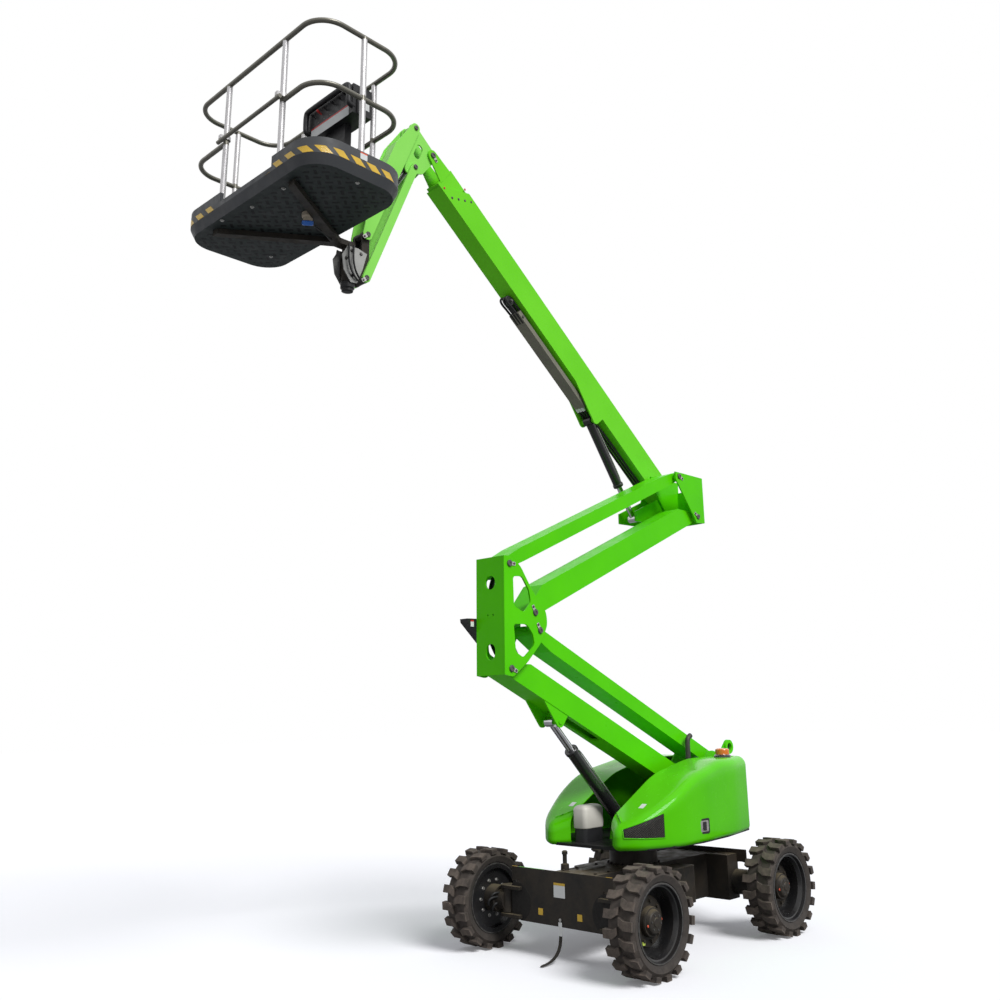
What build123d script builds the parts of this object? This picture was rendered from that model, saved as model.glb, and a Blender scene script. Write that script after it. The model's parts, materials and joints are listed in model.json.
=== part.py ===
from build123d import *
import os
from math import atan2, cos, degrees, hypot, radians, sin

# Articulating boom lift. Millimetres, +X forward, +Y to the machine's left, +Z up.
# The origin is on the ground, under the axis on which the upper works turn.

# ---- wheels and undercarriage ----
tyre_diameter = 773
tyre_width = 265
rim_diameter = 545
lug_height = 26
lugs_per_row = 18
wheel_base = 1870
overall_width = 1986
kingpin_y = 600
hub_radius = 105
disc_thickness = 12
disc_inset = 60
beam_depth = 170
beam_bottom = 250
beam_top = 655
deck_top = 620
deck_half_width = 220
plate_thickness = 12
hub_hole_radius = 165
hub_hole_y = 480
beam_end = 440
pedestal_radius = 206
pod_width = 200
pod_half_length = 340
pod_top = 590
pod_bottom = 300

# ---- upper works ----
turntable_z = 800
turntable_thickness = 22
hood_wall = 8
hood_gap = 7
hood_inner_y = 222
tower_half_width = 186
tower_plate = 14
hinge_y = 204
hinge_z = 1440
hinge_x = -1080
hinge_length = 200
hinge_rod_radius = 8
hinge_bracket = 12

# ---- riser: two stacked parallelograms ----
link_length = 2676
riser_angle = 24.3
main_pin_x = -804
main_pin_z = 1121
upper_pin_offset = (-335, 307)
knuckle_rise = (11, 822)
tie_pin_offset = (-281, 448)
arm_half_width = 110
main_arm_height = 180
tie_arm_height = 115
second_main_height = 190
arm_wall = 8
pin_radius = 25
knuckle_half_width = 159
knuckle_plate = 15
knuckle_front = 73

# ---- upper boom, head and jib, all in one plane beside the riser ----
boom_y = -275
boom_angle = 38.46
boom_pivot_drop = (-237, -105)
boom_width = 180
boom_height = 265
boom_wall = 8
boom_mouth = 3900
boom_foot = 130
inner_gap = 6
head_reach = 4126
head_rise = 36
jib_root_offset = (203, 179)
jib_length = 1283
jib_angle = -68.0
jib_pin_spacing = 380

# ---- basket ----
basket_length = 1820
basket_depth = 860
basket_corner = 245
turn_offset = 123
basket_drop = 99
basket_reach = 541
pan_height = 190
entry_lip = 110
rail_height = 1150
mid_rail_height = 640
rail_radius = 19
post_radius = 22

# ---- cylinders ----
riser_barrel_radius = 52
riser_rod_radius = 32
boom_barrel_radius = 45
boom_rod_radius = 28
jib_barrel_radius = 32
jib_rod_radius = 18
eye_half = 44

# ---- fits ----
pin_clearance = 0.3
running_clearance = 0.5
side_clearance = 6

os.makedirs("parts", exist_ok=True)


def save(builder, name):
    """Label a finished piece and write its STEP file."""
    builder.part.label = name
    export_step(builder.part, f"parts/{name}.step")


def along(angle, distance):
    """Offset in x and z of a point at a distance along a direction in the XZ plane."""
    return distance * cos(radians(angle)), distance * sin(radians(angle))


def plus(point, offset):
    """Sum of two (x, z) pairs."""
    return point[0] + offset[0], point[1] + offset[1]


def side_plane(y):
    """Sketch plane whose local x is +X and local y is +Z, with its normal towards -Y."""
    return Plane(origin=(0, y, 0), x_dir=(1, 0, 0), z_dir=(0, -1, 0))


# ---- pin positions at rest, as (x, z) ----
main_root = (main_pin_x, main_pin_z)
tie_root = plus(main_root, upper_pin_offset)
main_tip = plus(main_root, along(riser_angle, link_length))
tie_tip = plus(main_tip, upper_pin_offset)
second_tie_root = plus(main_tip, knuckle_rise)
second_main_root = plus(main_tip, tie_pin_offset)
second_tie_tip = plus(second_tie_root, along(180 - riser_angle, link_length))
second_main_tip = plus(second_main_root, along(180 - riser_angle, link_length))
boom_pivot = plus(second_tie_tip, boom_pivot_drop)


def on_boom(along_boom, above):
    """Point at a distance along the boom from its pivot and above its middle line."""
    return plus(plus(boom_pivot, along(boom_angle, along_boom)), along(boom_angle + 90, above))


head_pin = on_boom(head_reach, head_rise)
jib_root = plus(head_pin, jib_root_offset)
jib_low_root = plus(jib_root, (0, -jib_pin_spacing))
jib_tip = plus(jib_root, along(jib_angle, jib_length))
jib_low_tip = plus(jib_low_root, along(jib_angle, jib_length))
turn_axis_x = jib_tip[0] + turn_offset
basket_floor_z = jib_tip[1] - basket_drop
basket_centre_x = turn_axis_x + basket_reach


def at_pin(point, y, angle=0):
    """Plane at a pin, its x along the arm, its y to the arm's upper side, its normal towards -Y."""
    return Plane(origin=(point[0], y, point[1]), x_dir=(cos(radians(angle)), 0, sin(radians(angle))), z_dir=(0, -1, 0))


def cross_pin(point, y_from, y_to, radius):
    """Round bar along Y between two heights of y."""
    with BuildPart(Plane(origin=(point[0], y_to, point[1]), z_dir=(0, -1, 0))) as bar:
        Cylinder(radius, y_to - y_from, align=(Align.CENTER, Align.CENTER, Align.MIN))
    return bar.part


# ---- wheels ----
wheel_radius = tyre_diameter / 2
carcass_radius = wheel_radius - lug_height
wheel_y = overall_width / 2 - tyre_width / 2
seat_clearance = 0.3
rim_flange_radius = rim_diameter / 2
rim_half_width = 107
flange_inner_half = rim_half_width - 10
rim_seat_half = rim_half_width - 16
rim_seat_radius = rim_flange_radius - 16
spigot_radius = 47
shoulder = 34
lug_length = 62
lug_bend = 30


def lug_solid(side):
    """One bent lug, from the shoulder to just past the middle, standing on the tread at +X."""
    sink = 14
    half = lug_length / 2
    outer = side * tyre_width / 2
    bend = side * tyre_width * 0.2
    inner = side * tyre_width * 0.03
    with BuildPart() as lug:
        with BuildSketch(Plane.YZ.offset(carcass_radius - sink)):
            with BuildLine():
                Polyline(
                    (-half, outer),
                    (half, outer),
                    (half, bend),
                    (half - lug_bend, inner),
                    (-half * 0.7 - lug_bend, inner),
                    (-half, bend),
                    close=True,
                )
            make_face()
        extrude(amount=lug_height + sink)
    return lug.part


def tyre_solid():
    """Tyre about its own axis: a round-shouldered carcass with two staggered rows of bent lugs."""
    lugs = {side: lug_solid(side) for side in (-1, 1)}
    with BuildPart() as tyre:
        with BuildSketch(Plane.XZ):
            with BuildLine():
                Polyline(
                    (rim_seat_radius, -rim_seat_half),
                    (rim_flange_radius + seat_clearance, seat_clearance - flange_inner_half),
                    (rim_flange_radius + 8, -rim_half_width),
                    (carcass_radius - shoulder, -tyre_width / 2 + 8),
                    (carcass_radius, -tyre_width / 2 + shoulder),
                    (carcass_radius, tyre_width / 2 - shoulder),
                    (carcass_radius - shoulder, tyre_width / 2 - 8),
                    (rim_flange_radius + 8, rim_half_width),
                    (rim_flange_radius + seat_clearance, flange_inner_half - seat_clearance),
                    (rim_seat_radius, rim_seat_half),
                    close=True,
                )
            make_face()
        revolve(axis=Axis.Z)
        for side, lug in lugs.items():
            with PolarLocations(0, lugs_per_row, start_angle=side * 90 / lugs_per_row):
                add(lug)
    return tyre.part


def rim_solid():
    """Deep dished rim about its own axis, open towards +Z, with its disc near the inner side."""
    wall = 12
    disc_low = -tyre_width / 2 + disc_inset
    disc_high = disc_low + disc_thickness
    step = 30
    seat = rim_seat_radius - seat_clearance
    barrel = rim_flange_radius - step - wall
    with BuildPart() as rim:
        with BuildSketch(Plane.XZ):
            with BuildLine():
                Polyline(
                    (spigot_radius, disc_low),
                    (barrel, disc_low),
                    (barrel, -rim_half_width),
                    (rim_flange_radius, -rim_half_width),
                    (rim_flange_radius, -flange_inner_half),
                    (seat, -rim_seat_half - seat_clearance),
                    (seat, rim_seat_half + seat_clearance),
                    (rim_flange_radius, flange_inner_half),
                    (rim_flange_radius, rim_half_width),
                    (rim_flange_radius - 14, rim_half_width),
                    (rim_flange_radius - 20, rim_half_width - 26),
                    (rim_flange_radius - step, rim_half_width - 30),
                    (barrel, rim_half_width - 60),
                    (barrel, disc_high),
                    (spigot_radius, disc_high),
                    close=True,
                )
            make_face()
        revolve(axis=Axis.Z)
    return rim.part


wheels = (
    # name, x, side
    ("front_left", wheel_base / 2, 1),
    ("front_right", wheel_base / 2, -1),
    ("rear_left", -wheel_base / 2, 1),
    ("rear_right", -wheel_base / 2, -1),
)
tyre_form = tyre_solid()
rim_form = rim_solid()
for name, x, side in wheels:
    seat = Location(Plane(origin=(x, side * wheel_y, wheel_radius), x_dir=(0, 0, 1), z_dir=(0, side, 0)))
    with BuildPart() as tyre_piece:
        add(seat * tyre_form)
    save(tyre_piece, f"tyre_{name}")
    with BuildPart() as rim_piece:
        add(seat * rim_form)
    save(rim_piece, f"rim_{name}")

# ---- hubs: a drive motor in each rim, the front pair on kingpins ----
disc_y = wheel_y - tyre_width / 2 + disc_inset
ear_gap = 190
ear_thickness = 24
ear_radius = 62
kingpin_radius = 28
knuckle_radius = 50
motor_start_y = kingpin_y + ear_radius + 16
axle_x = wheel_base / 2
spigot_length = disc_thickness + 16


def hub_motor(x, side, start_y):
    """Drive motor on the wheel's axis from start_y to the disc, with a spigot in the disc."""
    with BuildPart() as motor:
        with BuildSketch(Plane(origin=(x, side * start_y, wheel_radius), z_dir=(0, side, 0))):
            Circle(hub_radius)
        extrude(amount=disc_y - start_y - pin_clearance)
        with BuildSketch(Plane(origin=(x, side * (disc_y - 10), wheel_radius), z_dir=(0, side, 0))):
            Circle(spigot_radius - pin_clearance)
        extrude(amount=10 + spigot_length)
    return motor.part


for name, side in (("left", 1), ("right", -1)):
    motor = hub_motor(axle_x, side, motor_start_y)
    with BuildPart() as hub:
        add(motor)
        with BuildSketch(Plane(origin=(axle_x, side * kingpin_y, wheel_radius), z_dir=(0, side, 0))):
            Circle(hub_radius - 25)
        extrude(amount=motor_start_y - kingpin_y + 1)
        with BuildSketch(Plane.XY.offset(wheel_radius - ear_gap / 2 + side_clearance)):
            with Locations((axle_x, side * kingpin_y)):
                Circle(knuckle_radius)
        extrude(amount=ear_gap - 2 * side_clearance)
        with BuildSketch(Plane.XY.offset(wheel_radius - ear_gap / 2 - ear_thickness)):
            with Locations((axle_x, side * kingpin_y)):
                Circle(kingpin_radius)
        extrude(amount=ear_gap + 2 * ear_thickness)
    save(hub, f"steer_hub_{name}")

# ---- chassis frame ----
plate_face_x = axle_x + 20
plate_half = kingpin_y - ear_radius
rear_motors = [hub_motor(-axle_x, side, beam_end) for side in (-1, 1)]
with BuildPart() as chassis:
    with BuildSketch(Plane.XY.offset(beam_bottom + 10)):
        Rectangle(wheel_base - beam_depth, 2 * deck_half_width)
        Circle(pedestal_radius + 25)
    extrude(amount=deck_top - beam_bottom - 10)
    with BuildSketch(Plane.XY.offset(deck_top)):
        Circle(pedestal_radius)
    extrude(amount=turntable_z - deck_top - pin_clearance)
    with BuildSketch(Plane.XY.offset(pod_bottom)):
        RectangleRounded(2 * pod_half_length, 2 * (deck_half_width + pod_width), 60)
    extrude(amount=pod_top - pod_bottom)
    for end in (-1, 1):
        with BuildSketch(Plane.XY.offset(beam_bottom)):
            with Locations((end * (plate_face_x - beam_depth / 2), 0)):
                Rectangle(beam_depth, 2 * beam_end)
        extrude(amount=deck_top - beam_bottom)
        with BuildSketch(Plane(origin=(end * plate_face_x, 0, 0), x_dir=(0, 1, 0), z_dir=(-end, 0, 0))):
            with Locations((0, -end * (beam_top + beam_bottom) / 2)):
                Rectangle(2 * plate_half, beam_top - beam_bottom)
            with Locations(*[(side * hub_hole_y, -end * wheel_radius) for side in (-1, 1)]):
                Circle(hub_hole_radius, mode=Mode.SUBTRACT)
        extrude(amount=plate_thickness)
    for side in (-1, 1):
        for level in (-1, 1):
            low = wheel_radius + level * (ear_gap + ear_thickness) / 2 - ear_thickness / 2
            with BuildSketch(Plane.XY.offset(low)):
                with Locations((axle_x, side * kingpin_y)):
                    Circle(ear_radius)
                with Locations((axle_x, side * (kingpin_y + beam_end - 20) / 2)):
                    Rectangle(2 * ear_radius, kingpin_y - beam_end + 20)
            extrude(amount=ear_thickness)
    with Locations(*[(axle_x, side * kingpin_y, wheel_radius) for side in (-1, 1)]):
        Cylinder(kingpin_radius + pin_clearance, ear_gap + 3 * ear_thickness, mode=Mode.SUBTRACT)
    for motor in rear_motors:
        add(motor)
save(chassis, "chassis_frame")

# ---- static strap hanging from the front plate ----
strap_width = 34
strap_thickness = 5
strap_top = 315
with BuildPart() as strap:
    with BuildSketch(side_plane(strap_width / 2 - 22)):
        with BuildLine():
            Polyline(
                (plate_face_x, strap_top),
                (plate_face_x, 60),
                (plate_face_x + 60, 2),
                (plate_face_x + 66, 6),
                (plate_face_x + strap_thickness, 62),
                (plate_face_x + strap_thickness, strap_top),
                close=True,
            )
        make_face()
    extrude(amount=strap_width)
save(strap, "static_strap")

# ---- hood sections, from front to rear ----
hood_sections = (
    # x, inner y, outer y, ridge z, top z
    (655, 300, 350, 985, 1000),
    (480, hood_inner_y, 555, 1080, 1045),
    (250, hood_inner_y, 640, 1190, 1170),
    (-150, hood_inner_y, 655, 1320, 1370),
    (-600, hood_inner_y, 605, 1385, 1460),
    (-1140, hood_inner_y, 485, 1380, 1450),
    (-1265, hood_inner_y, 330, 1370, 1440),
)
hood_front_x = hood_sections[0][0]
hood_rear_x = hood_sections[-1][0]

# ---- turret frame: turntable, tower plates and their pins ----
plate_margin = hood_wall + hood_gap
plate_side = [(x, y_out - plate_margin) for x, y_in, y_out, z_ridge, z_top in hood_sections]
plate_side[0] = (hood_front_x - plate_margin, plate_side[0][1] - plate_margin)
plate_side[-1] = (hood_rear_x + plate_margin, plate_side[-1][1] - plate_margin)
plate_outline = plate_side + [(x, -y) for x, y in reversed(plate_side)]
tower_outline = ((-1235, 0), (-1235, 560), (-1210, 655), (-1050, 700), (-960, 700), (-690, 380), (-560, 0))
foot_lug_height = 130
cylinder_foot = (118, turntable_z + foot_lug_height)
lifting_eye = (-1315, 1524)
lifting_eye_radius = 38
eye_outer_radius = 67
foot_lug_radius = 60
lug_plate = 20
lug_inner = riser_barrel_radius + side_clearance
with BuildPart() as turret:
    with BuildSketch(Plane.XY.offset(turntable_z)):
        with BuildLine():
            Polyline(*plate_outline, close=True)
        make_face()
    extrude(amount=turntable_thickness)
    for y_outer in (tower_half_width, -tower_half_width + tower_plate):
        with BuildSketch(Plane(origin=(0, y_outer, turntable_z), x_dir=(1, 0, 0), z_dir=(0, -1, 0))):
            with BuildLine():
                Polyline(*tower_outline, close=True)
            make_face()
        extrude(amount=tower_plate)
    for y_outer in (lug_inner + lug_plate, -lug_inner):
        with BuildSketch(side_plane(y_outer)):
            with BuildLine():
                Polyline(
                    (cylinder_foot[0] - 110, turntable_z + 1),
                    (cylinder_foot[0] - foot_lug_radius, cylinder_foot[1] + 40),
                    (cylinder_foot[0] + foot_lug_radius, cylinder_foot[1] + 40),
                    (cylinder_foot[0] + 110, turntable_z + 1),
                    close=True,
                )
            make_face()
        extrude(amount=lug_plate)
    for pin, half in ((main_root, tower_half_width), (tie_root, tower_half_width), (cylinder_foot, lug_inner + lug_plate)):
        add(cross_pin(pin, -half, half, pin_radius))
    for side in (-1, 1):
        rod_start = hinge_x - hinge_length / 2 - hinge_bracket
        with BuildSketch(Plane(origin=(rod_start, side * hinge_y, hinge_z), x_dir=(0, side, 0), z_dir=(1, 0, 0))):
            Circle(hinge_rod_radius)
        extrude(amount=hinge_length + 2 * hinge_bracket)
        for start in (rod_start, hinge_x + hinge_length / 2):
            with BuildSketch(Plane(origin=(start, side * hinge_y, hinge_z), x_dir=(0, side, 0), z_dir=(1, 0, 0))):
                Circle(hinge_rod_radius + 5)
                with Locations((tower_half_width - hinge_y - 4, -40 * side)):
                    Rectangle(8, 60)
                make_hull()
            extrude(amount=hinge_bracket)
    with BuildSketch(side_plane(tower_half_width)):
        with Locations(lifting_eye):
            Circle(eye_outer_radius)
        with Locations((lifting_eye[0] + 100, lifting_eye[1] - 60)):
            Circle(40)
        make_hull()
        with Locations(lifting_eye):
            Circle(lifting_eye_radius, mode=Mode.SUBTRACT)
    extrude(amount=tower_plate)
save(turret, "turret_frame")

deck_level = turntable_z + turntable_thickness
block_x, block_y = -1000, 320
block_length, block_width, block_height = 260, 170, 340
ballast_x, ballast_length, ballast_height = -1150, 150, 120
with BuildPart() as weight:
    with BuildSketch(Plane.XY.offset(deck_level)):
        with Locations((ballast_x, 0)):
            Rectangle(ballast_length, 2 * (tower_half_width - tower_plate - 10))
    extrude(amount=ballast_height)
    with BuildSketch(Plane.XY.offset(deck_level)):
        with Locations((block_x, block_y), (block_x, -block_y)):
            Rectangle(block_length, block_width)
    extrude(amount=block_height)
save(weight, "counterweight")

engine_x, engine_y = -350, 400
engine_length, engine_width, engine_height = 620, 300, 400
with BuildPart() as engine:
    with BuildSketch(Plane.XY.offset(deck_level)):
        with Locations((engine_x, engine_y)):
            Rectangle(engine_length, engine_width)
    extrude(amount=engine_height)
save(engine, "engine_block")

tank_width = 122
tank_y = -(lug_inner + lug_plate + 8 + tank_width / 2)
with BuildPart() as tank:
    with BuildSketch(Plane.XY.offset(deck_level)):
        with Locations((440, tank_y)):
            RectangleRounded(260, tank_width, 40)
    extrude(amount=270)
save(tank, "fluid_tank")


def hood_corners(side, y_in, y_out, z_ridge, z_top, floor):
    """Corners of a hood's outline across the machine, as (y, z)."""
    return (
        (side * y_in, floor),
        (side * y_out, floor),
        (side * y_out, z_ridge - 30),
        (side * (y_out - 0.25 * (y_out - y_in)), (z_ridge + z_top) / 2),
        (side * y_in, z_top),
    )


def hood_body(side):
    """Outer form of a hood, ruled between its sections."""
    with BuildPart() as body:
        for x, y_in, y_out, z_ridge, z_top in hood_sections:
            with BuildSketch(Plane(origin=(x, 0, 0), x_dir=(0, 1, 0), z_dir=(1, 0, 0))):
                with BuildLine():
                    Polyline(*hood_corners(side, y_in, y_out, z_ridge, z_top, turntable_z), close=True)
                make_face()
        loft(ruled=True)
    return body.part


def hood_cavity(side):
    """Space under a hood, open below and towards the tower."""
    with BuildPart() as space:
        for index, (x, y_in, y_out, z_ridge, z_top) in enumerate(hood_sections):
            inset = {0: -hood_wall, len(hood_sections) - 1: hood_wall}.get(index, 0)
            inner = (y_in - 60, y_out - hood_wall, z_ridge - hood_wall, z_top - hood_wall)
            with BuildSketch(Plane(origin=(x + inset, 0, 0), x_dir=(0, 1, 0), z_dir=(1, 0, 0))):
                with BuildLine():
                    Polyline(*hood_corners(side, *inner, turntable_z - 10), close=True)
                make_face()
        loft(ruled=True)
    return space.part


pipe_radius = 24
pipe_place = (-200, 480)
pipe_bottom = 1300
pipe_top = 1690
for name, side in (("left", 1), ("right", -1)):
    outer = hood_body(side)
    space = hood_cavity(side)
    with BuildPart() as hood:
        add(outer)
        add(space, mode=Mode.SUBTRACT)
        tube_start = hinge_x - hinge_length / 2 + running_clearance
        with BuildSketch(Plane(origin=(tube_start, side * hinge_y, hinge_z), x_dir=(0, side, 0), z_dir=(1, 0, 0))):
            Circle(hinge_rod_radius + 7)
            Rectangle(46, 8 * 2, align=(Align.MIN, Align.CENTER))
            Circle(hinge_rod_radius + pin_clearance, mode=Mode.SUBTRACT)
        extrude(amount=hinge_length - 2 * running_clearance)
        if name == "left":
            with BuildSketch(Plane.XY.offset(pipe_bottom)):
                with Locations(pipe_place):
                    Circle(pipe_radius + pin_clearance)
            extrude(amount=pipe_top - pipe_bottom, mode=Mode.SUBTRACT)
    save(hood, f"hood_{name}")

with BuildPart() as exhaust:
    with BuildSketch(Plane.XY.offset(pipe_bottom)):
        with Locations(pipe_place):
            Circle(pipe_radius)
            Circle(pipe_radius - 4, mode=Mode.SUBTRACT)
    extrude(amount=pipe_top - pipe_bottom)
save(exhaust, "exhaust_pipe")

# ---- beacon, its foot cut to the slope of the hood ----
beacon_place = (-860, 400)
beacon_foot_z, beacon_base_height, beacon_lamp_height = 1400, 86, 30
beacon_base_radius, beacon_lamp_radius = 52, 46
left_hood = hood_body(1)
with BuildPart() as beacon:
    with BuildSketch(Plane.XY.offset(beacon_foot_z)):
        with Locations(beacon_place):
            Circle(beacon_base_radius)
    extrude(amount=beacon_base_height)
    with BuildSketch(Plane.XY.offset(beacon_foot_z + beacon_base_height)):
        with Locations(beacon_place):
            Circle(beacon_lamp_radius)
    extrude(amount=beacon_lamp_height)
    add(left_hood, mode=Mode.SUBTRACT)
save(beacon, "beacon")

# ---- riser arms ----
arm_end_radius = 44
bore_radius = pin_radius + pin_clearance
boss_half = knuckle_half_width - knuckle_plate - side_clearance
arms = (
    # name, root pin, angle, lower edge and upper edge about the pin line
    ("link_one_main", main_root, riser_angle, -34, main_arm_height - 34),
    ("link_one_tie", tie_root, riser_angle, 38 - tie_arm_height, 38),
    ("link_two_main", second_main_root, 180 - riser_angle, -31, second_main_height - 31),
    ("link_two_tie", second_tie_root, 180 - riser_angle, 64 - tie_arm_height, 64),
)
arm_taper = 230
end_closing = 60
bracket_reach = 1945
bracket_drop = 124.5
riser_pin = plus(plus(main_root, along(riser_angle, bracket_reach)), along(riser_angle - 90, bracket_drop))
pocket_start, pocket_end, pocket_corner = 1360, 1980, 30
bracket_plate = 14
bracket_half = 105
bracket_radius = 46
stub_radius = 22


def arm_solid(root, angle, low, high):
    """Box arm between two pins: tapered round ends, a hollow middle and bosses at the pins."""
    with BuildPart() as arm:
        with BuildSketch(at_pin(root, arm_half_width, angle)):
            with Locations((0, 0), (link_length, 0)):
                Circle(arm_end_radius)
            with Locations((link_length / 2, (low + high) / 2)):
                Rectangle(link_length - 2 * arm_taper, high - low)
            make_hull()
        extrude(amount=2 * arm_half_width)
        with BuildSketch(at_pin(root, arm_half_width - arm_wall, angle)):
            with Locations((link_length / 2, (low + high) / 2)):
                Rectangle(link_length - 2 * arm_taper - 2 * end_closing, high - low - 2 * arm_wall)
        extrude(amount=2 * arm_half_width - 2 * arm_wall, mode=Mode.SUBTRACT)
        with BuildSketch(at_pin(root, boss_half, angle)):
            with Locations((0, 0), (link_length, 0)):
                Circle(arm_end_radius)
        extrude(amount=2 * boss_half)
        with BuildSketch(at_pin(root, boss_half, angle)):
            with Locations((0, 0), (link_length, 0)):
                Circle(bore_radius)
        extrude(amount=2 * boss_half, mode=Mode.SUBTRACT)
    return arm.part


def eye_stubs(point, y, outer_half):
    """Two pin stubs that stand inwards from a clevis's plates to just short of a rod's eye."""
    inner_half = eye_half + running_clearance
    with BuildPart() as stubs:
        for side in (-1, 1):
            low, high = sorted((y + side * inner_half, y + side * outer_half))
            with BuildSketch(at_pin(point, high)):
                Circle(stub_radius)
            extrude(amount=high - low)
    return stubs.part


def under_plane(root, angle, drop):
    """Plane along an arm at a drop below its pin line, with its normal towards the arm's upper side."""
    start = plus(root, along(angle - 90, drop))
    x_dir, z_dir = along(angle, 1), along(angle + 90, 1)
    return Plane(origin=(start[0], 0, start[1]), x_dir=(x_dir[0], 0, x_dir[1]), z_dir=(z_dir[0], 0, z_dir[1]))


for name, root, angle, low, high in arms:
    local_low, local_high = (low, high) if angle < 90 else (-high, -low)
    arm_form = arm_solid(root, angle, local_low, local_high)
    stubs = eye_stubs(riser_pin, 0, bracket_half + 6)
    with BuildPart() as arm_piece:
        add(arm_form)
        if name == "link_one_main":
            with BuildSketch(under_plane(root, angle, arm_end_radius + 1)):
                with Locations(((pocket_start + pocket_end) / 2, 0)):
                    pocket_width = 2 * (riser_barrel_radius + side_clearance)
                    RectangleRounded(pocket_end - pocket_start, pocket_width, pocket_corner)
            extrude(amount=arm_end_radius + low + arm_wall + 2, mode=Mode.SUBTRACT)
            for y_outer in (bracket_half, bracket_plate - bracket_half):
                with BuildSketch(at_pin(riser_pin, y_outer, riser_angle)):
                    Circle(bracket_radius)
                    with Locations((-60, 110), (280, 110)):
                        Circle(12)
                    make_hull()
                extrude(amount=bracket_plate)
            add(stubs)
    save(arm_piece, name)

# ---- knuckle between the two parallelograms ----
knuckle_front_x = main_tip[0] + knuckle_front
knuckle_outline = (
    # x and z about the main arm's pin
    (knuckle_front, -48),
    (-20, -64),
    (-186, 53),
    (-342, 206),
    (-412, 353),
    (-398, 458),
    (-247, 627),
    (-111, 819),
    (10, 880),
    (knuckle_front, 880),
)
lower_window = ((-30, 345), (-180, 350), (-250, 275), (-270, 188), (-140, 83), (-52, 127))
upper_window = ((-28, 723), (-132, 731), (-212, 624), (-233, 529), (-149, 440), (-36, 485))
knuckle_pins = [plus(main_tip, offset) for offset in ((0, 0), upper_pin_offset, knuckle_rise, tie_pin_offset)]
face_low, face_high = -48, 880
with BuildPart() as knuckle_one:
    for y_outer in (knuckle_half_width, knuckle_plate - knuckle_half_width):
        with BuildSketch(at_pin(main_tip, y_outer)):
            with BuildLine():
                Polyline(*knuckle_outline, close=True)
            make_face()
            for window in (lower_window, upper_window):
                with BuildLine():
                    Polyline(*window, close=True)
                make_face(mode=Mode.SUBTRACT)
        extrude(amount=knuckle_plate)
    with BuildSketch(Plane(origin=(knuckle_front_x - knuckle_plate, 0, main_tip[1]), x_dir=(0, 1, 0), z_dir=(1, 0, 0))):
        with Locations((0, (face_high + face_low) / 2)):
            Rectangle(2 * knuckle_half_width, face_high - face_low)
        with Locations((0, 676)):
            Circle(38, mode=Mode.SUBTRACT)
        with Locations((0, 132)):
            SlotOverall(110, 76, rotation=90, mode=Mode.SUBTRACT)
    extrude(amount=knuckle_plate)
    for pin in knuckle_pins:
        add(cross_pin(pin, -knuckle_half_width, knuckle_half_width, pin_radius))
save(knuckle_one, "knuckle_one")

# ---- knuckle at the riser's top, with the upper boom's foot beside it ----
boom_near = boom_y + boom_width / 2
boom_far = boom_y - boom_width / 2
foot_gap = 4
foot_plate = 16
boom_foot_offset = (455, -295.4)
foot_near = boom_near + foot_gap + foot_plate
foot_far = boom_far - foot_gap - foot_plate
second_outline = ((60, 40), (-410, 40), (-410, -430), (-270, -440), (60, -30))
foot_outline = ((-140, 30), (-340, 30), (-410, -60), (-410, -430), (320, -450), (320, -350), (-60, -180))
boom_cylinder_foot = plus(boom_pivot, boom_foot_offset)
second_pins = [second_tie_tip, second_main_tip]
with BuildPart() as knuckle_two:
    for y_outer in (knuckle_half_width, knuckle_plate - knuckle_half_width):
        with BuildSketch(at_pin(second_tie_tip, y_outer)):
            with BuildLine():
                Polyline(*second_outline, close=True)
            make_face()
        extrude(amount=knuckle_plate)
    for y_outer in (foot_near, foot_far + foot_plate):
        with BuildSketch(at_pin(second_tie_tip, y_outer)):
            with BuildLine():
                Polyline(*foot_outline, close=True)
            make_face()
        extrude(amount=foot_plate)
    with BuildSketch(Plane(origin=(second_tie_tip[0] - 410, 0, second_tie_tip[1]), x_dir=(0, 1, 0), z_dir=(1, 0, 0))):
        with Locations(((knuckle_half_width + foot_far) / 2, -250)):
            Rectangle(knuckle_half_width - foot_far, 360)
    extrude(amount=knuckle_plate)
    for pin in second_pins:
        add(cross_pin(pin, -knuckle_half_width, knuckle_half_width, pin_radius))
    add(cross_pin(boom_pivot, foot_far, foot_near, pin_radius))
    add(eye_stubs(boom_cylinder_foot, boom_y, foot_near - boom_y))
save(knuckle_two, "knuckle_two")

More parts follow.
